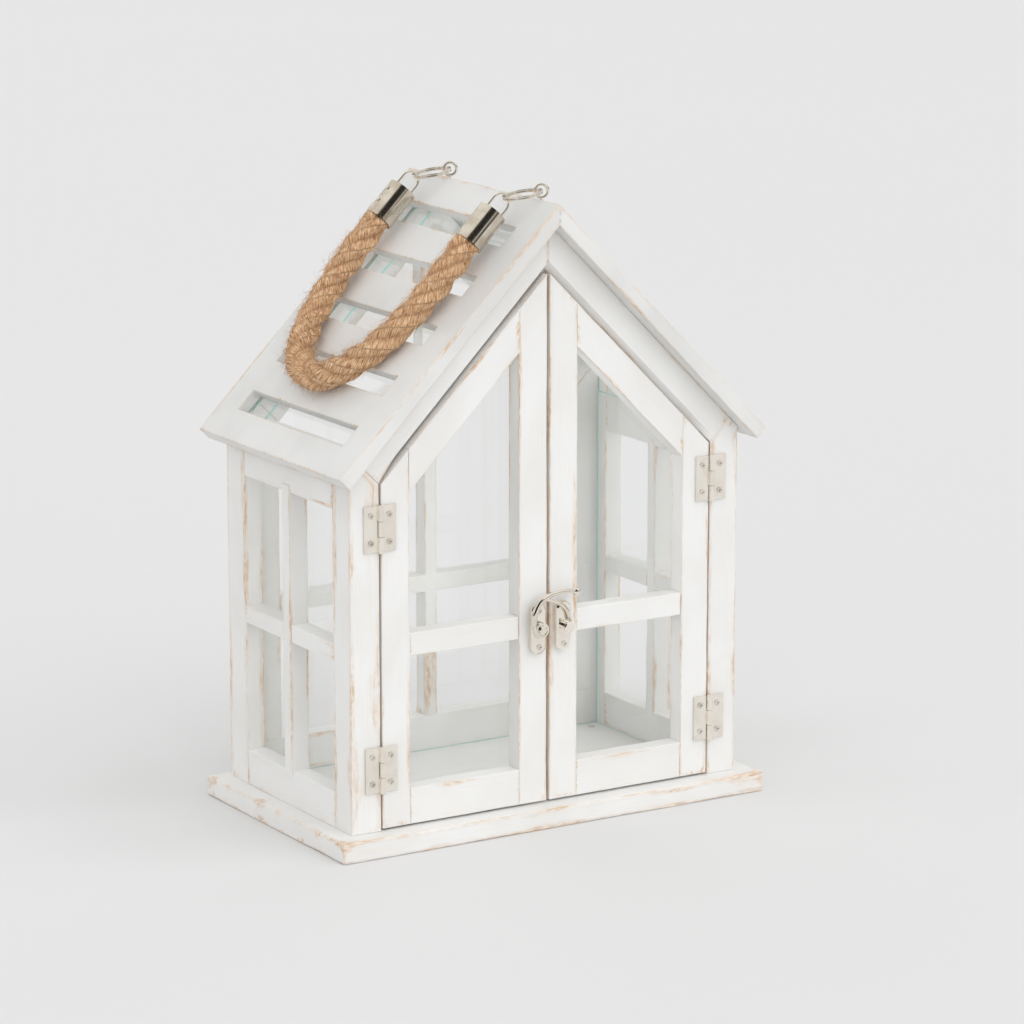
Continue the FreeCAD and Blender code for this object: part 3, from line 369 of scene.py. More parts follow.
def new_mesh(name: str, points: np.ndarray, faces: np.ndarray,
             **attributes: np.ndarray) -> bpy.types.Object:
    """Object from arrays, smooth shaded, with one value or vector at each point per attribute.

    Args:
        name: The piece's name.
        points: Places, one row each.
        faces: Point numbers, one row for each face.
        attributes: Arrays of one number or three numbers for each point.

    Returns:
        The new object, linked to the scene.
    """
    mesh = bpy.data.meshes.new(name)
    mesh.from_pydata(points.tolist(), [], faces.tolist())
    for label, values in attributes.items():
        flat = values.ndim == 1
        layer = mesh.attributes.new(label, "FLOAT" if flat else "FLOAT_VECTOR", "POINT")
        layer.data.foreach_set("value" if flat else "vector", values.astype(np.float32).ravel())
    mesh.polygons.foreach_set("use_smooth", np.ones(len(faces), bool))
    mesh.validate()
    made = bpy.data.objects.new(name, mesh)
    bpy.context.scene.collection.objects.link(made)
    return made


def settle(piece: bpy.types.Object, material: bpy.types.Material, body: str,
           nodes: Iterable[str]) -> bpy.types.Object:
    """Dress a new piece, let it stand for its CAD nodes, and make it ride on its body."""
    piece.data.materials.append(material)
    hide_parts(*nodes)
    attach(piece, body)
    log.info("%s: %d faces on %s", piece.name, len(piece.data.polygons), body)
    return piece


def grid_lines(length: float, step: float, rounding: float, edges: Iterable[float] = ()) -> np.ndarray:
    """Places of the grid lines across one side of a board.

    Lines crowd towards both ends and round each inner edge, at fixed shares of the rounding, and
    stand about one step apart between them.

    Args:
        length: The side's length.
        step: Usual distance between lines.
        rounding: Radius of the rounded edges.
        edges: Places of inner edges, such as a slot's.

    Returns:
        Rising places, from 0 to the length.
    """
    near = rounding * np.array([0.0, 0.3, 0.7, 1.15, 2.0])
    near = near[near < length / 2.2]
    count = max(1, math.ceil((length - 2 * near[-1]) / step))
    places = [near, length - near, np.linspace(near[-1], length - near[-1], count + 1)]
    for edge in edges:
        places += [edge - near, edge + near]
    lines = np.unique(np.round(np.concatenate(places), 6))
    return lines[(lines >= 0) & (lines <= length + 1e-7)]


def shell(lines: list[np.ndarray], filled: np.ndarray) -> tuple[np.ndarray, np.ndarray]:
    """Surface of a block of cells: every cell side between a filled cell and an empty one.

    Args:
        lines: Places of the cells' walls along each of three axes.
        filled: True for each cell that is solid.

    Returns:
        Points and four-sided faces that look outwards in the block's own axes.
    """
    shape = tuple(len(line) for line in lines)
    padded = np.pad(filled, 1)
    quads = []
    for axis in range(3):
        second, third = (axis + 1) % 3, (axis + 2) % 3
        for outward in (1, -1):
            open_side = padded & ~np.roll(padded, -outward, axis)
            cells = np.stack(np.nonzero(open_side), axis=1) - 1
            cells[:, axis] += outward > 0
            corners = []
            for along, up in ((0, 0), (1, 0), (1, 1), (0, 1)):
                corner = cells.copy()
                corner[:, second] += along
                corner[:, third] += up
                corners.append(np.ravel_multi_index(corner.T, shape))
            quads.append(np.stack(corners[::outward], axis=1))
    faces = np.concatenate(quads)
    used, numbers = np.unique(faces, return_inverse=True)
    index = np.unravel_index(used, shape)
    points = np.stack([line[number] for line, number in zip(lines, index)], axis=1)
    return points, numbers.reshape(faces.shape)


def rounded(points: np.ndarray, size: np.ndarray, radius: np.ndarray) -> np.ndarray:
    """Block with rounded edges: each surface point moves to one radius from the block shrunk by it."""
    outside = ((points < 1e-7) | (points > size - 1e-7)).any(axis=1)
    reach = radius[:, None]
    inner = np.clip(points, reach, size - reach)
    away = points - inner
    length = np.linalg.norm(away, axis=1, keepdims=True)
    moved = inner + away * reach / np.maximum(length, 1e-9)
    return np.where(outside[:, None], moved, points)


def edge_distance(points: np.ndarray, size: np.ndarray) -> np.ndarray:
    """Distance of each surface point from the block's nearest edge: its second smallest gap to a face."""
    return np.sort(np.minimum(points, size - points), axis=1)[:, 1]


# ---- Boards ------------------------------------------------------------------------------------
class Cut(Enum):
    """How a board's ends are cut, as seen from the front."""

    SQUARE = "square ends"
    ROOF = "top along the roof's slope"
    DOOR_RAIL = "sloping board with upright ends"
    RAKE = "sloping board, square at the foot and upright at the ridge"
    SHOULDER = "top cut square to the rake, then along the roof"
    POINT = "pointed top"


def board_corners(node: str, cut: Cut) -> tuple[np.ndarray, np.ndarray]:
    """Corners (x, z) up the two long sides of a board's front, from its box and its cut.

    The roof rises as fast as it runs, so a slanting corner's height differs from its neighbour's by
    the distance between them. The shapes are worked out for the right side and then mirrored.

    Args:
        node: The board's CAD node.
        cut: How its ends are cut.

    Returns:
        The two chains of corners, with as many corners each.
    """
    low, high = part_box(node)
    side = -1.0 if low.x + high.x < -1e-6 else 1.0
    near, far = sorted((abs(low.x), abs(high.x)))
    foot, top = low.z, high.z
    if low.x < 0 < high.x and cut is not Cut.POINT and cut is not Cut.RAKE:
        near, far = low.x, high.x
    if cut is Cut.ROOF:
        first, second = [(near, foot), (near, top)], [(far, foot), (far, top - (far - near))]
    elif cut is Cut.DOOR_RAIL:
        height = (top - foot) - (far - near)
        first, second = [(far, foot), (near, top - height)], [(far, foot + height), (near, top)]
    elif cut is Cut.RAKE:
        height = 2 * (top - foot - far)
        first = [(far - height / 2, foot), (0, top - height)]
        second = [(far, foot + height / 2), (0, top)]
    elif cut is Cut.SHOULDER:
        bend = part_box(node.replace("post", "rake").replace("stile", "rake"))[0].z
        shoulder = near + top - bend
        first = [(near, foot), (near, bend), (shoulder, top)]
        second = [(far, foot), (far, bend), (far, top - (far - shoulder))]
    elif cut is Cut.POINT:
        half = far
        first = [(-half, foot), (-half, top - half), (-half / 20, top)]
        second = [(half, foot), (half, top - half), (half / 20, top)]
    else:
        first, second = [(near, foot), (near, top)], [(far, foot), (far, top)]
    mirror = np.array([side, 1.0])
    return np.array(first) * mirror, np.array(second) * mirror


@dataclass(frozen=True)
class Board:
    """One painted board that stands for a CAD node."""

    node: str
    body: str
    cut: Cut = Cut.SQUARE
    wear: float = 1.0
    rounding: float = 0.8 * MM
    step: float = 3.2 * MM
    sway: float = 0.09 * MM
    free_ends: bool = False
    butt_reach: float = 3.0 * MM
    butt_rounding: float = 0.35  # share of the rounding left where boards butt
    butt_shelter: tuple[float, float] = (1.6 * MM, 1.8)  # its reach, and what it adds to the edge distance
    bare_side: int | None = None
    bare_scale: float = 0.22
    bevel: tuple[float, float, float] | None = None

    def lean(self, points: np.ndarray, size: np.ndarray, half: float) -> np.ndarray:
        """Bevelled lower front edge: how far back each point moves.

        The depth is greatest at the edge and falls to nothing at the bevel's height and at the
        board's back. It runs out towards the foot.

        Args:
            points: Places in the board's own axes.
            size: The board's size.
            half: Distance of the lower edge's foot from the middle plane.

        Returns:
            One distance for each point.
        """
        height, depth, runout = self.bevel
        share = np.clip(0.1 + 0.9 * half * points[:, 1] / size[1] / runout, 0.1, 1.0)
        up = np.clip(1 - points[:, 0] / height, 0, 1)
        return depth * share * up * (1 - points[:, 2] / size[2])

    def surface(self, seed: int, y_span: tuple[float, float]
                ) -> tuple[np.ndarray, np.ndarray, np.ndarray, np.ndarray]:
        """Points, faces, edge distances (mm, made smaller by the wear) and grain places of the board.

        A rounded block's first axis runs across between the two chains of corners, its second up
        them, and its third to the back. The rounding changes along the board, as if rubbed by hand,
        and the faces sway a little. Ends that butt against other boards are sharper and less worn.

        Args:
            seed: Number that fixes this board's rubbing and grain.
            y_span: The board's front and back.

        Returns:
            Points, faces, edge distances and grain places.
        """
        first, second = board_corners(self.node, self.cut)
        runs = (np.linalg.norm(np.diff(first, axis=0), axis=1)
                + np.linalg.norm(np.diff(second, axis=0), axis=1)) / 2
        knots = np.concatenate([[0], np.cumsum(runs)])
        size = np.array([np.linalg.norm(second - first, axis=1).mean(), knots[-1], y_span[1] - y_span[0]])
        lines = [grid_lines(size[0], self.step, self.rounding, [self.bevel[0]] if self.bevel else []),
                 grid_lines(size[1], self.step, self.rounding, knots[1:-1]),
                 grid_lines(size[2], self.step, self.rounding)]
        points, faces = shell(lines, np.ones([len(line) - 1 for line in lines], bool))
        edge = edge_distance(points, size) / (MM * self.wear)
        rubbed = self.rounding * (1.0 + 0.55 * waves(points, 24 * MM, seed))
        if self.bare_side is not None:
            sawn = np.abs(points[:, 0] - size[0] * self.bare_side) < 1e-7
            edge = np.where(sawn, edge * self.bare_scale, edge)
        if not self.free_ends:
            from_end = np.minimum(points[:, 1], size[1] - points[:, 1])
            rubbed *= np.interp(from_end, [0, self.butt_reach], [self.butt_rounding, 1.0])
            reach, shelter = self.butt_shelter
            edge += np.interp(from_end, [0, reach], [shelter, 0.0])
        soft = rounded(points, size, np.clip(rubbed, 0.15 * MM, self.rounding * 1.7))
        if self.bevel:
            soft[:, 2] += self.lean(soft, size, abs(first[0, 0]))
        share = soft[:, 0] / size[0]
        chains = [np.stack([np.interp(soft[:, 1], knots, chain[:, axis]) for axis in (0, 1)], axis=1)
                  for chain in (first, second)]
        flat = chains[0] + (chains[1] - chains[0]) * share[:, None]
        placed = np.stack([flat[:, 0], y_span[0] + soft[:, 2], flat[:, 1]], axis=1)
        middle = placed.mean(axis=0)
        inward = np.sign(placed - middle) * (np.abs(waves(points, 70 * MM, seed + 1)) * self.sway)[:, None]
        order = np.argsort(-size)
        grain = points[:, order] + np.random.default_rng(seed).uniform(0, 3, 3)
        if np.linalg.det(axes_of(first, second)) < 0:
            faces = faces[:, ::-1]
        return placed - inward, faces, edge, grain


def axes_of(first: np.ndarray, second: np.ndarray) -> np.ndarray:
    """Directions of a board's three axes as rows: across, up its long side, and to the back."""
    across, along = second[0] - first[0], first[1] - first[0]
    return np.array([(across[0], 0, across[1]), (along[0], 0, along[1]), (0, 1, 0)])


@dataclass
class TimberFrame:
    """Every board but the roof's: base, posts, rakes, walls and doors."""

    finish: bpy.types.Material
    sided: dict[str, Cut] = field(default_factory=lambda: {
        "front_post": Cut.SHOULDER, "front_rake": Cut.RAKE, "wall_back_stile": Cut.ROOF,
        "wall_bottom_rail": Cut.SQUARE, "wall_top_rail": Cut.ROOF, "back_stile": Cut.SHOULDER,
        "back_rake": Cut.RAKE, "door_hinge_stile": Cut.ROOF, "door_meeting_stile": Cut.ROOF,
        "door_bottom_rail": Cut.SQUARE, "door_crossbar": Cut.SQUARE,
        "door_top_rail": Cut.DOOR_RAIL, "wall_muntin": Cut.SQUARE, "wall_crossbar": Cut.SQUARE})
    rake_bevel: tuple[float, float, float] = (4.5 * MM, 5.5 * MM, 14.0 * MM)
    bare_sides: dict[str, int] = field(default_factory=lambda: {
        "front_post": 0, "door_meeting_stile": 0, "door_hinge_stile": 1})
    heavy_wear: dict[str, float] = field(default_factory=lambda: {
        "base_board": 2.0, "left_front_post": 2.3, "right_door_meeting_stile": 1.7,
        "right_front_post": 1.5, "left_wall_back_stile": 1.6, "left_door_hinge_stile": 1.4})

    def boards(self) -> list[Board]:
        """Every board, with its body, its cut and how much it is rubbed."""
        found = [Board("base_board", "root", rounding=1.3 * MM, wear=self.heavy_wear["base_board"],
                       free_ends=True),
                 Board("back_bottom_rail", "root"), Board("back_muntin", "root", Cut.POINT),
                 Board("back_crossbar", "root")]
        for name, _ in SIDES:
            for part, cut in self.sided.items():
                node = f"{name}_{part}"
                body = f"{name}_door" if part.startswith("door") else "root"
                bevel = self.rake_bevel if part == "front_rake" else None
                found.append(Board(node, body, cut, self.heavy_wear.get(node, 1.0), bevel=bevel,
                                   bare_side=self.bare_sides.get(part)))
        return found

    def spans(self, board: Board) -> list[tuple[float, float]]:
        """Front and back of each length of a board; a wall's crossbar is two lengths."""
        low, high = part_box(board.node)
        if board.node.endswith("wall_crossbar"):
            bar_low, bar_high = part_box(board.node.replace("crossbar", "muntin"))
            return [(low.y, bar_low.y), (bar_high.y, high.y)]
        return [(low.y, high.y)]

    def build(self) -> None:
        """Build each board as one piece, dressed in the worn paint."""
        for seed, board in enumerate(self.boards(), 11):
            parts = [board.surface(seed + 100 * number, span)
                     for number, span in enumerate(self.spans(board))]
            counts = np.cumsum([0] + [len(part[0]) for part in parts])
            points, edge, grain = (np.concatenate([part[row] for part in parts]) for row in (0, 2, 3))
            faces = np.concatenate([part[1] + count for part, count in zip(parts, counts)])
            piece = new_mesh(f"{board.node}_timber", points, faces, edge=edge, grain=grain)
            settle(piece, self.finish, board.body, [board.node])


# ---- Roof --------------------------------------------------------------------------------------
@dataclass
class RoofSlope:
    """One roof board with its row of slots and the recess for the glass under them."""

    name: str
    side: float
    finish: bpy.types.Material
    slot_count: int = 5
    slot_height: float = 15.0 * MM
    slot_pitch: float = 39.2 * MM
    first_slot: float = 30.5 * MM
    slot_inset: tuple[float, float] = (24.6 * MM, 24.0 * MM)
    recess_depth: float = 2.2 * MM
    recess_margin: float = 4.0 * MM
    rounding: float = 1.0 * MM
    wear: float = 1.3
    slot_shelter: tuple[float, float] = (1.7, 0.4 * MM)  # scales and adds to a slot's edge distance
    seeds: tuple[int, int] = (71, 83)  # left slope, right slope
    step: float = 3.4 * MM

    def sizes(self) -> tuple[np.ndarray, float, float]:
        """Size (down the slope, to the back, through), the ridge's height and the front's place."""
        low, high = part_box(f"{self.name}_roof_board")
        run = max(abs(low.x), abs(high.x))
        length = run / math.cos(PITCH)
        thickness = (high.z - length * math.sin(PITCH) - low.z) / math.cos(PITCH)
        return np.array([length, high.y - low.y, thickness]), high.z, low.y

    def slots(self, size: np.ndarray) -> np.ndarray:
        """Each slot's rectangle as rows: nearest and furthest down, then front and back."""
        middle = self.first_slot + self.slot_pitch * np.arange(self.slot_count)
        front = np.full(self.slot_count, self.slot_inset[0])
        back = np.full(self.slot_count, size[1] - self.slot_inset[1])
        return np.stack([middle - self.slot_height / 2, middle + self.slot_height / 2, front, back], axis=1)

    def soften_slots(self, points: np.ndarray, size: np.ndarray,
                     slots: np.ndarray) -> tuple[np.ndarray, np.ndarray]:
        """Round the slots' upper edges.

        A point's distance from a slot and its depth below the top are a corner's two coordinates.
        The corner is rounded as a block's is: the point moves to one radius from the corner's own
        centre, and its new distance and depth put it back beside the slot.

        Args:
            points: Places in the board's own axes.
            size: The board's size.
            slots: The slots' rectangles.

        Returns:
            The moved points, and each point's distance from the nearest slot's upper edge.
        """
        moved = points.copy()
        closest = np.full(len(points), 1.0)
        depth = size[2] - points[:, 2]
        for near, far, front, back in slots:
            low, high = np.array([near, front]), np.array([far, back])
            beside = np.clip(points[:, :2], low, high)
            away = points[:, :2] - beside
            gap = np.linalg.norm(away, axis=1)
            on_wall = (points[:, :2] >= high - 1e-7).astype(float) - (points[:, :2] <= low + 1e-7)
            on_wall /= np.maximum(np.linalg.norm(on_wall, axis=1, keepdims=True), 1e-9)
            heading = np.where(gap[:, None] > 1e-7, away / np.maximum(gap, 1e-9)[:, None], on_wall)
            closest = np.minimum(closest, np.hypot(gap, depth))
            corner = np.stack([gap, depth], axis=1)
            centre = np.maximum(corner, self.rounding)
            pull = corner - centre
            reach = np.linalg.norm(pull, axis=1, keepdims=True)
            softened = centre + pull * self.rounding / np.maximum(reach, 1e-9)
            chosen = (gap < self.rounding) & (depth < self.rounding)
            moved[chosen, :2] = (beside + heading * softened[:, :1])[chosen]
            moved[chosen, 2] = (size[2] - softened[:, 1])[chosen]
        return moved, closest

    def build(self) -> bpy.types.Object:
        """Build the slope: a block of cells less its slots and recess, laid on the roof's pitch."""
        size, ridge, front = self.sizes()
        slots = self.slots(size)
        recess = (slots[0, 0] - self.recess_margin, slots[-1, 1] + self.recess_margin,
                  slots[0, 2] - self.recess_margin, slots[0, 3] + self.recess_margin)
        lines = [grid_lines(size[0], self.step, self.rounding, [*slots[:, 0], *slots[:, 1], *recess[:2]]),
                 grid_lines(size[1], self.step, self.rounding, [*slots[0, 2:], *recess[2:]]),
                 grid_lines(size[2], self.step, self.rounding, [self.recess_depth])]
        down, back, up = (((line[1:] + line[:-1]) / 2) for line in lines)
        filled = np.ones((len(down), len(back), len(up)), bool)
        for near, far, low, high in slots:
            filled[np.ix_((down > near) & (down < far), (back > low) & (back < high))] = False
        hollow = np.ix_((down > recess[0]) & (down < recess[1]), (back > recess[2]) & (back < recess[3]),
                        up < self.recess_depth)
        filled[hollow] = False
        points, faces = shell(lines, filled)
        seed = self.seeds[self.side > 0]
        softened, from_slot = self.soften_slots(points, size, slots)
        rubbed = self.rounding * (1.0 + 0.5 * waves(points, 30 * MM, seed))
        soft = rounded(softened, size, np.clip(rubbed, 0.2 * MM, 1.7 * MM))
        scale, shift = self.slot_shelter
        edge = np.minimum(edge_distance(points, size), from_slot * scale + shift) / (MM * self.wear)
        below = size[2] - soft[:, 2]
        along = np.maximum(soft[:, 0], below * math.tan(PITCH))
        x = self.side * (along * math.cos(PITCH) - below * math.sin(PITCH))
        z = ridge - along * math.sin(PITCH) - below * math.cos(PITCH)
        placed = np.stack([x, front + soft[:, 1], z], axis=1)
        grain = points + np.random.default_rng(seed).uniform(0, 3, 3)
        if self.side > 0:
            faces = faces[:, ::-1]
        piece = new_mesh(f"{self.name}_roof_timber", placed, faces, edge=edge, grain=grain)
        return settle(piece, self.finish, "root", [f"{self.name}_roof_board"])


# ---- Glass and hardware ------------------------------------------------------------------------
@dataclass
class Glazing:
    """The panes: CAD sheets dressed as glass, each with its own face direction."""

    groups: dict[str, tuple[Colour, tuple[str, ...]]] = field(default_factory=lambda: {
        "door_and_back": ((0.0, 1.0, 0.0), ("left_door_glass", "right_door_glass", "back_glass")),
        "side": ((1.0, 0.0, 0.0), ("left_wall_glass", "right_wall_glass")),
        "left_roof": ((-math.sin(PITCH), 0.0, math.cos(PITCH)), ("left_roof_glass",)),
        "right_roof": ((math.sin(PITCH), 0.0, math.cos(PITCH)), ("right_roof_glass",))})

    def build(self) -> None:
        """Give every pane its glass."""
        for name, (faces, nodes) in self.groups.items():
            glass = PaneGlass(f"{name}_glass", faces).material()
            for node in nodes:
                dress(node, glass)


def dress(node: str, material: bpy.types.Material) -> None:
    """Put a material in every slot of a CAD node."""
    piece = frame["nodes"][node]
    if not piece.material_slots:
        piece.data.materials.append(material)
    for slot in piece.material_slots:
        slot.material = material
    log.info("%s: %s", node, material.name)


@dataclass
class Hardware:
    """Hinges, screws, latch, ferrules, eyes and loops in nickel, and the two double-wound rings.

    Each group of CAD nodes shares one finish.
    """

    polished: tuple[str, ...] = ("post_hinge_leaves", "left_door_hinge_leaves",
                                 "right_door_hinge_leaves", "hinge_pins", "latch_plate",
                                 "catch_plate")
    aged: tuple[str, ...] = ("ferrules",)
    bright: tuple[str, ...] = ("latch_hook", "latch_rivet", "screw_eyes", "ferrule_loops")
    dull: tuple[str, ...] = ("floor_screws", "left_door_screws", "right_door_screws",
                             "post_hinge_screws", "ferrule_rivets")
    ring_radius: float = 11.8 * MM
    wire_width: float = 1.4 * MM
    wire_height: float = 1.2 * MM
    wire_steps: int = 241
    wire_sides: int = 16
    end_gap: float = 0.06  # angle left free at each end of the wire
    jog_angle: float = 0.7

    def build(self) -> None:
        """Dress the CAD hardware and wind the rings."""
        finishes = {
            self.polished: PlatedMetal("satin_nickel", (0.955, 0.905, 0.825), (0.875, 0.815, 0.730),
                                       polish=0.08),
            self.aged: PlatedMetal("aged_nickel", (0.78, 0.71, 0.61), (0.60, 0.52, 0.42), haze=0.16),
            self.bright: PlatedMetal("bright_nickel", polish=0.03, haze=0.07),
            self.dull: PlatedMetal("screw_steel", (0.86, 0.81, 0.74), (0.68, 0.63, 0.56))}
        for nodes, finish in finishes.items():
            metal = finish.material()
            for node in nodes:
                dress(node, metal)
            if finish.name == "bright_nickel":
                self.wind_rings(metal)

    def wind_rings(self, metal: bpy.types.Material) -> bpy.types.Object:
        """Wind both rings and let them stand for the CAD ones, whose places and tilts they take."""
        corners = np.array([v.co for v in frame["nodes"]["split_rings"].data.vertices])
        parts = []
        for chosen in (corners[:, 1] < 0, corners[:, 1] > 0):
            ring = corners[chosen]
            middle = (ring.max(axis=0) + ring.min(axis=0)) / 2
            directions = np.linalg.svd(ring - ring.mean(axis=0), full_matrices=False)[2]
            parts.append(self.coil(middle, directions))
        points = np.concatenate([part[0] for part in parts])
        faces = np.concatenate([parts[0][1], parts[1][1] + len(parts[0][0])])
        piece = new_mesh("split_ring_coils", points, faces)
        return settle(piece, metal, "rings", ["split_rings"])

    def coil(self, middle: np.ndarray, directions: np.ndarray) -> tuple[np.ndarray, np.ndarray]:
        """Two turns of flat wire, one on the other.

        The wire's centre runs twice round a circle and steps up by one wire's height in a short
        smooth jog half way. Its section is a superellipse of the fourth power.

        Args:
            middle: The ring's centre.
            directions: Rows: two directions in the ring's plane, then its normal.

        Returns:
            Points and faces, with both ends closed.
        """
        turn = np.linspace(self.end_gap, 4 * math.pi - self.end_gap, self.wire_steps)
        jog = np.clip((turn - (2 * math.pi - self.jog_angle / 2)) / self.jog_angle, 0, 1)
        height = self.wire_height * (jog * jog * (3 - 2 * jog) - 0.5)
        around = np.linspace(0, 2 * math.pi, self.wire_sides + 1)[:-1]
        cosine, sine = np.cos(around), np.sin(around)
        wide = np.sign(cosine) * np.sqrt(np.abs(cosine)) * self.wire_width / 2
        tall = np.sign(sine) * np.sqrt(np.abs(sine)) * self.wire_height * 0.49
        radius = self.ring_radius + wide[None, :]
        flat = np.stack([radius * np.cos(turn)[:, None], radius * np.sin(turn)[:, None],
                         height[:, None] + tall[None, :]], axis=2).reshape(-1, 3)
        facing = np.sign(np.linalg.det(directions))
        points = middle + flat @ (directions * np.array([1.0, 1.0, facing])[:, None])
        return close_tube(points, len(turn), len(around))


def close_tube(points: np.ndarray, rings: int, sides: int) -> tuple[np.ndarray, np.ndarray]:
    """Join rings of points into a tube, with a middle point that closes each end.

    Args:
        points: Points ring by ring; seen from the start each ring runs clockwise round the path.
        rings: Number of rings.
        sides: Points in a ring.

    Returns:
        The points with the two middle points added, and the faces; end faces repeat no point.
    """
    ring, side = np.meshgrid(np.arange(rings - 1), np.arange(sides), indexing="ij")
    after = (side + 1) % sides
    walls = np.stack([ring * sides + side, ring * sides + after, (ring + 1) * sides + after,
                      (ring + 1) * sides + side], axis=-1).reshape(-1, 4)
    walls = np.concatenate([walls[:, [0, 1, 2]], walls[:, [0, 2, 3]]])
    start, end = points[:sides].mean(axis=0), points[-sides:].mean(axis=0)
    number = np.arange(sides)
    ahead = (number + 1) % sides
    first = np.stack([ahead, number, np.full(sides, len(points))], axis=1)
    last = np.stack([number, ahead, np.full(sides, len(points))], axis=1) + (rings - 1) * sides
    last[:, 2] = len(points) + 1
    return np.concatenate([points, [start, end]]), np.concatenate([walls, first, last])


# ---- Rope --------------------------------------------------------------------------------------
@dataclass
class RopeHandle:
    """Laid jute rope that lies on the left roof slope between its two ferrules."""

    finish: bpy.types.Material
    # Distance behind the body's front, distance down the slope, and height above it.
    route: tuple[tuple[float, float, float], ...] = (
        (0.0220, 0.0489, 0.0135), (0.0220, 0.0630, 0.0135), (0.0236, 0.0810, 0.0116),
        (0.0270, 0.1010, 0.0102), (0.0320, 0.1205, 0.0096), (0.0410, 0.1390, 0.0096),
        (0.0545, 0.1540, 0.0096), (0.0700, 0.1615, 0.0096), (0.0875, 0.1620, 0.0096),
        (0.1035, 0.1550, 0.0096), (0.1165, 0.1410, 0.0096), (0.1260, 0.1230, 0.0096),
        (0.1310, 0.1030, 0.0099), (0.1324, 0.0825, 0.0114), (0.1304, 0.0630, 0.0135),
        (0.1304, 0.0489, 0.0135))
    diameter: float = 18.0 * MM
    length: float = 278.7 * MM
    strands: int = 3
    lay_length: float = 56.0 * MM
    strand_offset: float = 0.42  # a strand's middle from the rope's line, as a share of the rope's radius
    strand_radius: float = 0.56
    strand_sides: int = 30
    rings: int = 420
    yarns: int = 7
    yarn_lay: float = 21.0 * MM
    hairs: int = 5200
    hair_radius: float = 0.15 * MM
    hair_reach: tuple[float, float] = (2.0 * MM, 8.5 * MM)
    hair_points: int = 6
    loose_share: float = 0.3

    def spline(self) -> np.ndarray:
        """Points along the smooth line that the route's points control."""
        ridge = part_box("left_roof_board")[1].z
        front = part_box("left_front_post")[0].y
        behind, down, height = np.array(self.route).T
        x = -(down * math.cos(PITCH) + height * math.sin(PITCH))
        z = ridge - down * math.sin(PITCH) + height * math.cos(PITCH)
        curve = bpy.data.curves.new("rope_line", "CURVE")
        curve.dimensions = "3D"
        line = curve.splines.new("NURBS")
        line.points.add(len(x) - 1)
        line.points.foreach_set("co", np.stack([x, front + behind, z, np.ones(len(x))], axis=1).ravel())
        line.order_u = 3
        line.use_endpoint_u = True
        line.resolution_u = 24
        guide = bpy.data.objects.new("rope_line", curve)
        bpy.context.scene.collection.objects.link(guide)
        bpy.context.view_layer.update()
        mesh = bpy.data.meshes.new_from_object(
            guide.evaluated_get(bpy.context.evaluated_depsgraph_get()))
        points = np.array([v.co for v in mesh.vertices])
        bpy.data.objects.remove(guide)
        bpy.data.meshes.remove(mesh)
        return points

    def stations(self, count: int) -> tuple[np.ndarray, np.ndarray, np.ndarray, np.ndarray]:
        """Evenly spaced stations: distance along, place, and the two directions across the rope.

        The first direction across is the roof's normal less its share along the rope, because the
        rope lies nearly flat on the slope. The second is square to it and to the rope.
        """
        points = self.spline()
        along = np.concatenate([[0], np.cumsum(np.linalg.norm(np.diff(points, axis=0), axis=1))])
        at = np.linspace(0, along[-1], count)
        place = np.stack([np.interp(at, along, points[:, axis]) for axis in range(3)], axis=1)
        heading = np.gradient(place, axis=0)
        heading /= np.linalg.norm(heading, axis=1, keepdims=True)
        up = np.array([-math.sin(PITCH), 0, math.cos(PITCH)])
        first = up - heading * (heading @ up)[:, None]
        first /= np.linalg.norm(first, axis=1, keepdims=True)
        return at, place, first, np.cross(heading, first)

    def build(self) -> bpy.types.Object:
        at, place, first, second = self.stations(self.rings)
        half = self.diameter / 2
        around = np.linspace(0, 2 * math.pi, self.strand_sides, endpoint=False)
        points, faces, lays, furrow_shades = [], [], [], []
        count = 0
        for strand in range(self.strands):
            phase = 2 * math.pi * (at / self.lay_length + strand / self.strands)
            out = np.cos(phase)[:, None] * first + np.sin(phase)[:, None] * second
            beside = np.cross(np.gradient(place, axis=0), out)
            beside /= np.linalg.norm(beside, axis=1, keepdims=True)
            loose = 1.0 + 0.045 * waves(place, 11 * MM, strand)
            centre = place + out * (half * self.strand_offset * loose)[:, None]
            twist = around[None, :] + 2 * math.pi * at[:, None] / self.yarn_lay
            ridge = np.abs(np.cos(self.yarns * twist / 2))
            radius = half * (self.strand_radius + 0.018 * ridge) * loose[:, None]
            ring = (centre[:, None, :]
                    + out[:, None, :] * (radius * np.cos(around))[..., None]
                    + beside[:, None, :] * (radius * 1.08 * np.sin(around))[..., None])
            tube, walls = close_tube(ring.reshape(-1, 3), self.rings, self.strand_sides)
            # Painted shade mask: 1 in the hollows between strands, plus a little in the grooves between
            # yarns.
            from_line = np.linalg.norm(ring - place[:, None, :], axis=2) / half
            furrow = np.clip((0.88 - from_line) / 0.3, 0, 1) + (1 - ridge) * 0.1
            lay = np.stack([np.broadcast_to(at[:, None] / MM, twist.shape) + 300 * strand,
                            twist * 4.0, np.full(twist.shape, strand * 7.0)], axis=2)
            points.append(tube)
            faces.append(walls + count)
            lays.append(np.concatenate([lay.reshape(-1, 3), lay[[0, -1], 0]]))
            furrow_shades.append(np.concatenate([furrow.ravel(), [1.0, 1.0]]))
            count += len(tube)
        rope = new_mesh("rope_strands", np.concatenate(points), np.concatenate(faces),
                        lay=np.concatenate(lays), furrow=np.concatenate(furrow_shades))
        settle(rope, self.finish, "handle", ["handle_rope"])
        hairs = self.loose_hairs(at, place, first, second)
        return rope

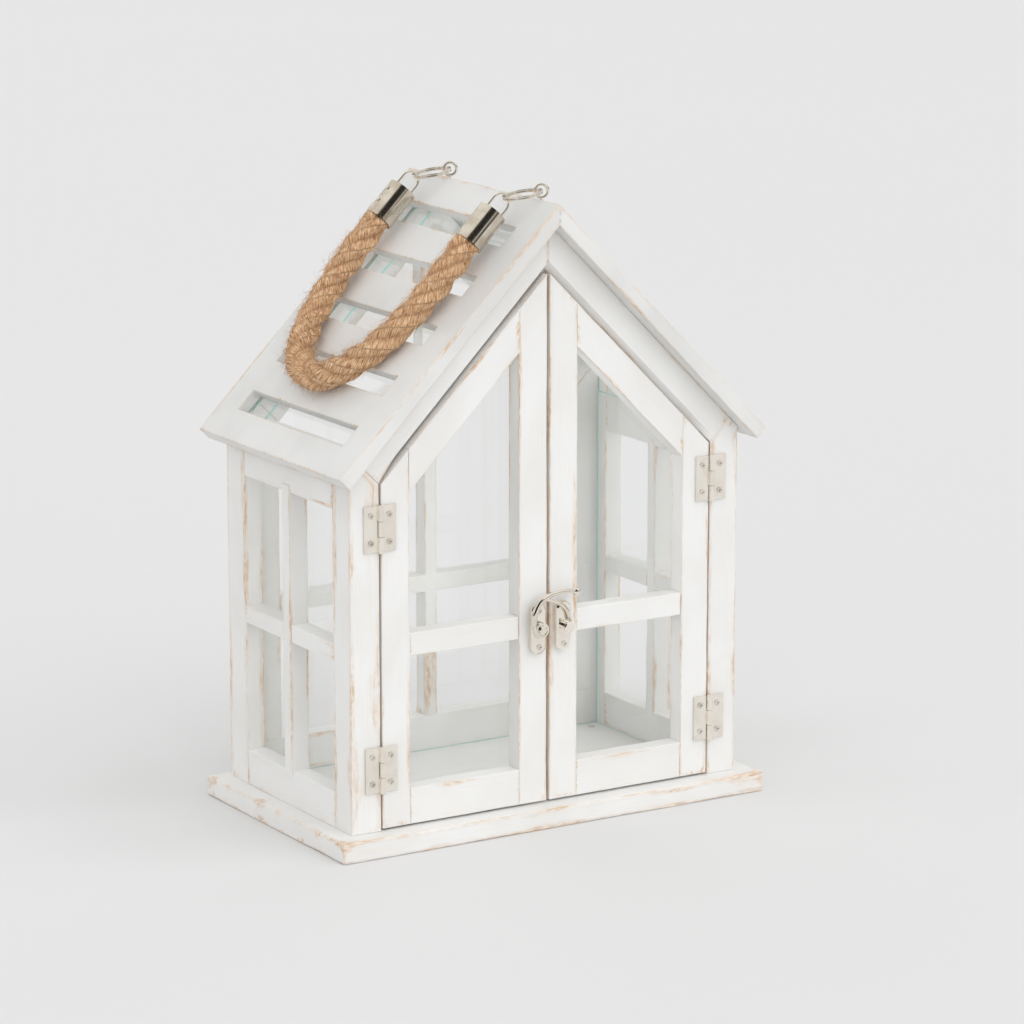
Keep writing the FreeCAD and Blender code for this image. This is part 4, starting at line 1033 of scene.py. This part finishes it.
    def surface_radius(self, at: np.ndarray, angle: np.ndarray) -> np.ndarray:
        """Distance from the rope's line to the strands' surface, at an angle round the rope.

        A strand is a circle off the line. A ray at the angle from the line leaves that circle at
        the centre's share along the ray plus the half chord.
        """
        turn = 2 * math.pi / self.strands
        off = (angle - 2 * math.pi * at / self.lay_length + turn / 2) % turn - turn / 2
        chord = np.sqrt(self.strand_radius ** 2 - (self.strand_offset * np.sin(off)) ** 2)
        return self.diameter / 2 * (self.strand_offset * np.cos(off) + chord)

    def loose_hairs(self, at: np.ndarray, place: np.ndarray, first: np.ndarray,
                    second: np.ndarray) -> bpy.types.Object:
        """Thin curved hairs that stand off the rope.

        Each hair is a three-sided tapering tube. It starts at a seeded place on a strand's surface.
        Most lie nearly along the rope, and the loose share rises from it. A hair bends by the square
        of the way along it.
        """
        rng = np.random.default_rng(5)
        station = rng.integers(4, len(at) - 4, self.hairs)
        angle = rng.uniform(-2.2, 2.2, self.hairs)
        out = np.cos(angle)[:, None] * first[station] + np.sin(angle)[:, None] * second[station]
        along = place[station + 1] - place[station - 1]
        along /= np.linalg.norm(along, axis=1, keepdims=True)
        across = np.cross(along, out)
        lift = np.where(rng.random(self.hairs) < self.loose_share, 0.75, 0.14)
        lean = rng.normal(size=(self.hairs, 3)) * np.array([1.0, 0.45, 1.0])
        rise = lift * (0.4 + np.abs(lean[:, 2]))
        heading = along * lean[:, :1] + across * lean[:, 1:2] + out * rise[:, None]
        heading /= np.linalg.norm(heading, axis=1, keepdims=True)
        sideways = rng.normal(size=(self.hairs, 2))
        bend = along * sideways[:, :1] + across * sideways[:, 1:] * 0.6 - out * 0.15
        reach = rng.uniform(*self.hair_reach, (self.hairs, 1, 1))
        share = np.linspace(0, 1, self.hair_points)[None, :, None]
        root = place[station] + out * self.surface_radius(at[station], angle)[:, None]
        line = root[:, None] + (heading[:, None] * share + bend[:, None] * share ** 2 * 0.35) * reach
        corner = np.array([0, 2, 4]) * math.pi / 3
        thick = self.hair_radius * (1 - 0.75 * share)[..., None]
        ring = (across[:, None, None, :] * np.cos(corner)[None, None, :, None]
                + out[:, None, None, :] * np.sin(corner)[None, None, :, None]) * thick
        corners = 3 * self.hair_points
        points = (line[:, :, None, :] + ring).reshape(self.hairs, corners, 3)
        _, walls = close_tube(points[0], self.hair_points, 3)
        walls = walls[(walls < corners).all(axis=1)]
        caps = np.array([[2, 1, 0], [corners - 3, corners - 2, corners - 1]])
        faces = np.concatenate([walls, caps])[None] + corners * np.arange(self.hairs)[:, None, None]
        faces = faces.reshape(-1, 3)
        shade = rng.uniform(0, 900, (self.hairs, 3))
        drift = np.tile(np.arange(corners)[:, None] * 0.02, (self.hairs, 3))
        lay = np.repeat(shade, corners, axis=0) + drift
        # The hairs get no painted shade.
        piece = new_mesh("rope_hairs", points.reshape(-1, 3), faces, lay=lay,
                         furrow=np.zeros(self.hairs * corners))
        piece.data.materials.append(self.finish)
        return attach(piece, "handle")


# ---- Studio ------------------------------------------------------------------------------------
@dataclass
class Studio:
    """Pale floor, soft lights, and the camera.

    An inner light is its height over the floor, then its power.
    """

    camera_place: tuple[float, float, float] = (-1.3907, -2.30225, 0.7924)
    camera_down: float = 12.764
    camera_turn: float = -31.519
    lens: float = 154.24
    floor_grey: float = 0.740
    floor_half: float = 30.0
    world_strength: float = 0.80
    reflected_light: Colour = (1.12, 1.12, 1.10)
    reflected_dark: Colour = (0.03, 0.028, 0.026)
    dark_way: tuple[float, float, float] = (-0.49, -0.81, 0.31)
    inner_lights: tuple[tuple[float, float], ...] = ((0.14, 0.055), (0.27, 0.09))
    floor_squares: int = 20

    def build(self) -> None:
        """Set up the floor, the world, the lights and the camera."""
        self.floor()
        self.world()
        self.sun("key_light", strength=0.95, spread=75.0, turn=(50.0, 0.0, 24.0))
        self.sun("fill_light", strength=0.42, spread=80.0, turn=(50.0, 0.0, -60.0))
        self.inner_fill()
        self.camera()
        settings = bpy.context.scene.view_settings
        settings.view_transform = "Standard"
        settings.look = "None"

    def floor(self) -> None:
        """Lay a flat pale floor of many squares."""
        count = self.floor_squares
        line = np.linspace(-self.floor_half, self.floor_half, count + 1)
        x, y = np.meshgrid(line, line, indexing="ij")
        points = np.stack([x.ravel(), y.ravel(), np.zeros(x.size)], axis=1)
        row, column = np.meshgrid(np.arange(count), np.arange(count), indexing="ij")
        start = (row * (count + 1) + column).ravel()
        faces = np.stack([start, start + count + 1, start + count + 2, start + 1], axis=1)
        floor = new_mesh("studio_floor", points, faces)
        made = bpy.data.materials.new("studio_floor")
        made.use_nodes = True
        graph = Graph(made.node_tree)
        place = graph.node("ShaderNodeTexCoord").outputs["Object"]
        grey = graph.mix(graph.noise(place, 0.8), (self.floor_grey,) * 3, (self.floor_grey * 1.01,) * 3)
        shader = graph.node("ShaderNodeBsdfPrincipled", {"Base Color": grey, "Roughness": 0.9})
        graph.finish(shader.outputs[0])
        floor.data.materials.append(made)

    def world(self) -> None:
        """Even pale light; reflections also see a dark patch behind the camera and low dark ones."""
        world = bpy.data.worlds.new("studio")
        world.use_nodes = True
        bpy.context.scene.world = world
        graph = Graph(world.node_tree)
        place = graph.node("ShaderNodeTexCoord").outputs["Generated"]
        height = graph.node("ShaderNodeSeparateXYZ", {0: place}).outputs[2]
        patches = graph.ramp(graph.noise(place, 2.6, 1.0, (1.0, 1.0, 0.4)), 0.42, 0.5)
        below = graph.math("SUBTRACT", 1.0, graph.ramp(height, 0.16, 0.30))
        band = graph.math("MULTIPLY", graph.math("MULTIPLY", below, patches), 0.94)
        behind = graph.node("ShaderNodeVectorMath", {0: place, 1: self.dark_way},
                            operation="DOT_PRODUCT").outputs["Value"]
        dark = graph.math("MAXIMUM", band, graph.ramp(behind, 0.80, 0.86))
        seen = graph.mix(dark, self.reflected_light, self.reflected_dark)
        path = graph.node("ShaderNodeLightPath").outputs["Is Glossy Ray"]
        colour = graph.mix(path, (1.0, 1.0, 1.0), seen)
        light = graph.node("ShaderNodeBackground", {"Color": colour, "Strength": self.world_strength})
        graph.node("ShaderNodeOutputWorld", {"Surface": light.outputs[0]})

    def sun(self, name: str, strength: float, spread: float, turn: tuple[float, float, float]) -> None:
        """Add a broad soft light, even over the whole floor, that reflections don't show."""
        data = bpy.data.lights.new(name, "SUN")
        data.energy = strength
        data.angle = math.radians(spread)
        light = bpy.data.objects.new(name, data)
        light.visible_glossy = False
        light.rotation_euler = [math.radians(angle) for angle in turn]
        bpy.context.scene.collection.objects.link(light)

    def inner_fill(self) -> None:
        """Two faint round lights inside the lantern, which only light its inner faces."""
        for number, (height, energy) in enumerate(self.inner_lights):
            data = bpy.data.lights.new(f"inner_fill_{number}", "POINT")
            data.energy = energy
            data.shadow_soft_size = 0.03
            light = bpy.data.objects.new(data.name, data)
            light.location = (0.0, -0.01, height)
            light.visible_camera = light.visible_glossy = light.visible_transmission = False
            bpy.context.scene.collection.objects.link(light)

    def camera(self) -> None:
        """Place the camera."""
        data = bpy.data.cameras.new("camera")
        data.lens = self.lens
        data.clip_end = 200.0
        camera = bpy.data.objects.new("camera", data)
        camera.location = self.camera_place
        camera.rotation_euler = (math.radians(90 - self.camera_down), 0, math.radians(self.camera_turn))
        bpy.context.scene.collection.objects.link(camera)
        bpy.context.scene.camera = camera


def clear_startup() -> None:
    """Remove every object that isn't part of the frame."""
    kept = {*frame["nodes"].values(), *frame["bodies"].values()}
    for item in [item for item in bpy.data.objects if item not in kept]:
        bpy.data.objects.remove(item)


def main() -> None:
    """Build the lantern's pieces in order, then its studio."""
    logging.basicConfig(level=logging.INFO, format="%(name)s %(message)s")
    clear_startup()
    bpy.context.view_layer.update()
    Studio().build()
    RopeHandle(JuteYarn().material()).build()
    groups = {"grain": grain_group(), "wear": wear_group()}
    paint = PaintedWood("worn_white_paint").material(groups)
    # The roof has the same white paint as the walls: its greyer paint and thin_paint colours are painted
    # shade, while its edge wear is real.
    roof_paint_with_painted_shade = PaintedWood("worn_roof_paint", paint=(0.775, 0.775, 0.762),
                             thin_paint=(0.69, 0.69, 0.675), wear=1.9).material(groups)
    TimberFrame(paint).build()
    for name, side in SIDES:
        RoofSlope(name, side, roof_paint_with_painted_shade).build()
    Glazing().build()
    Hardware().build()


if __name__ == "__main__":
    main()
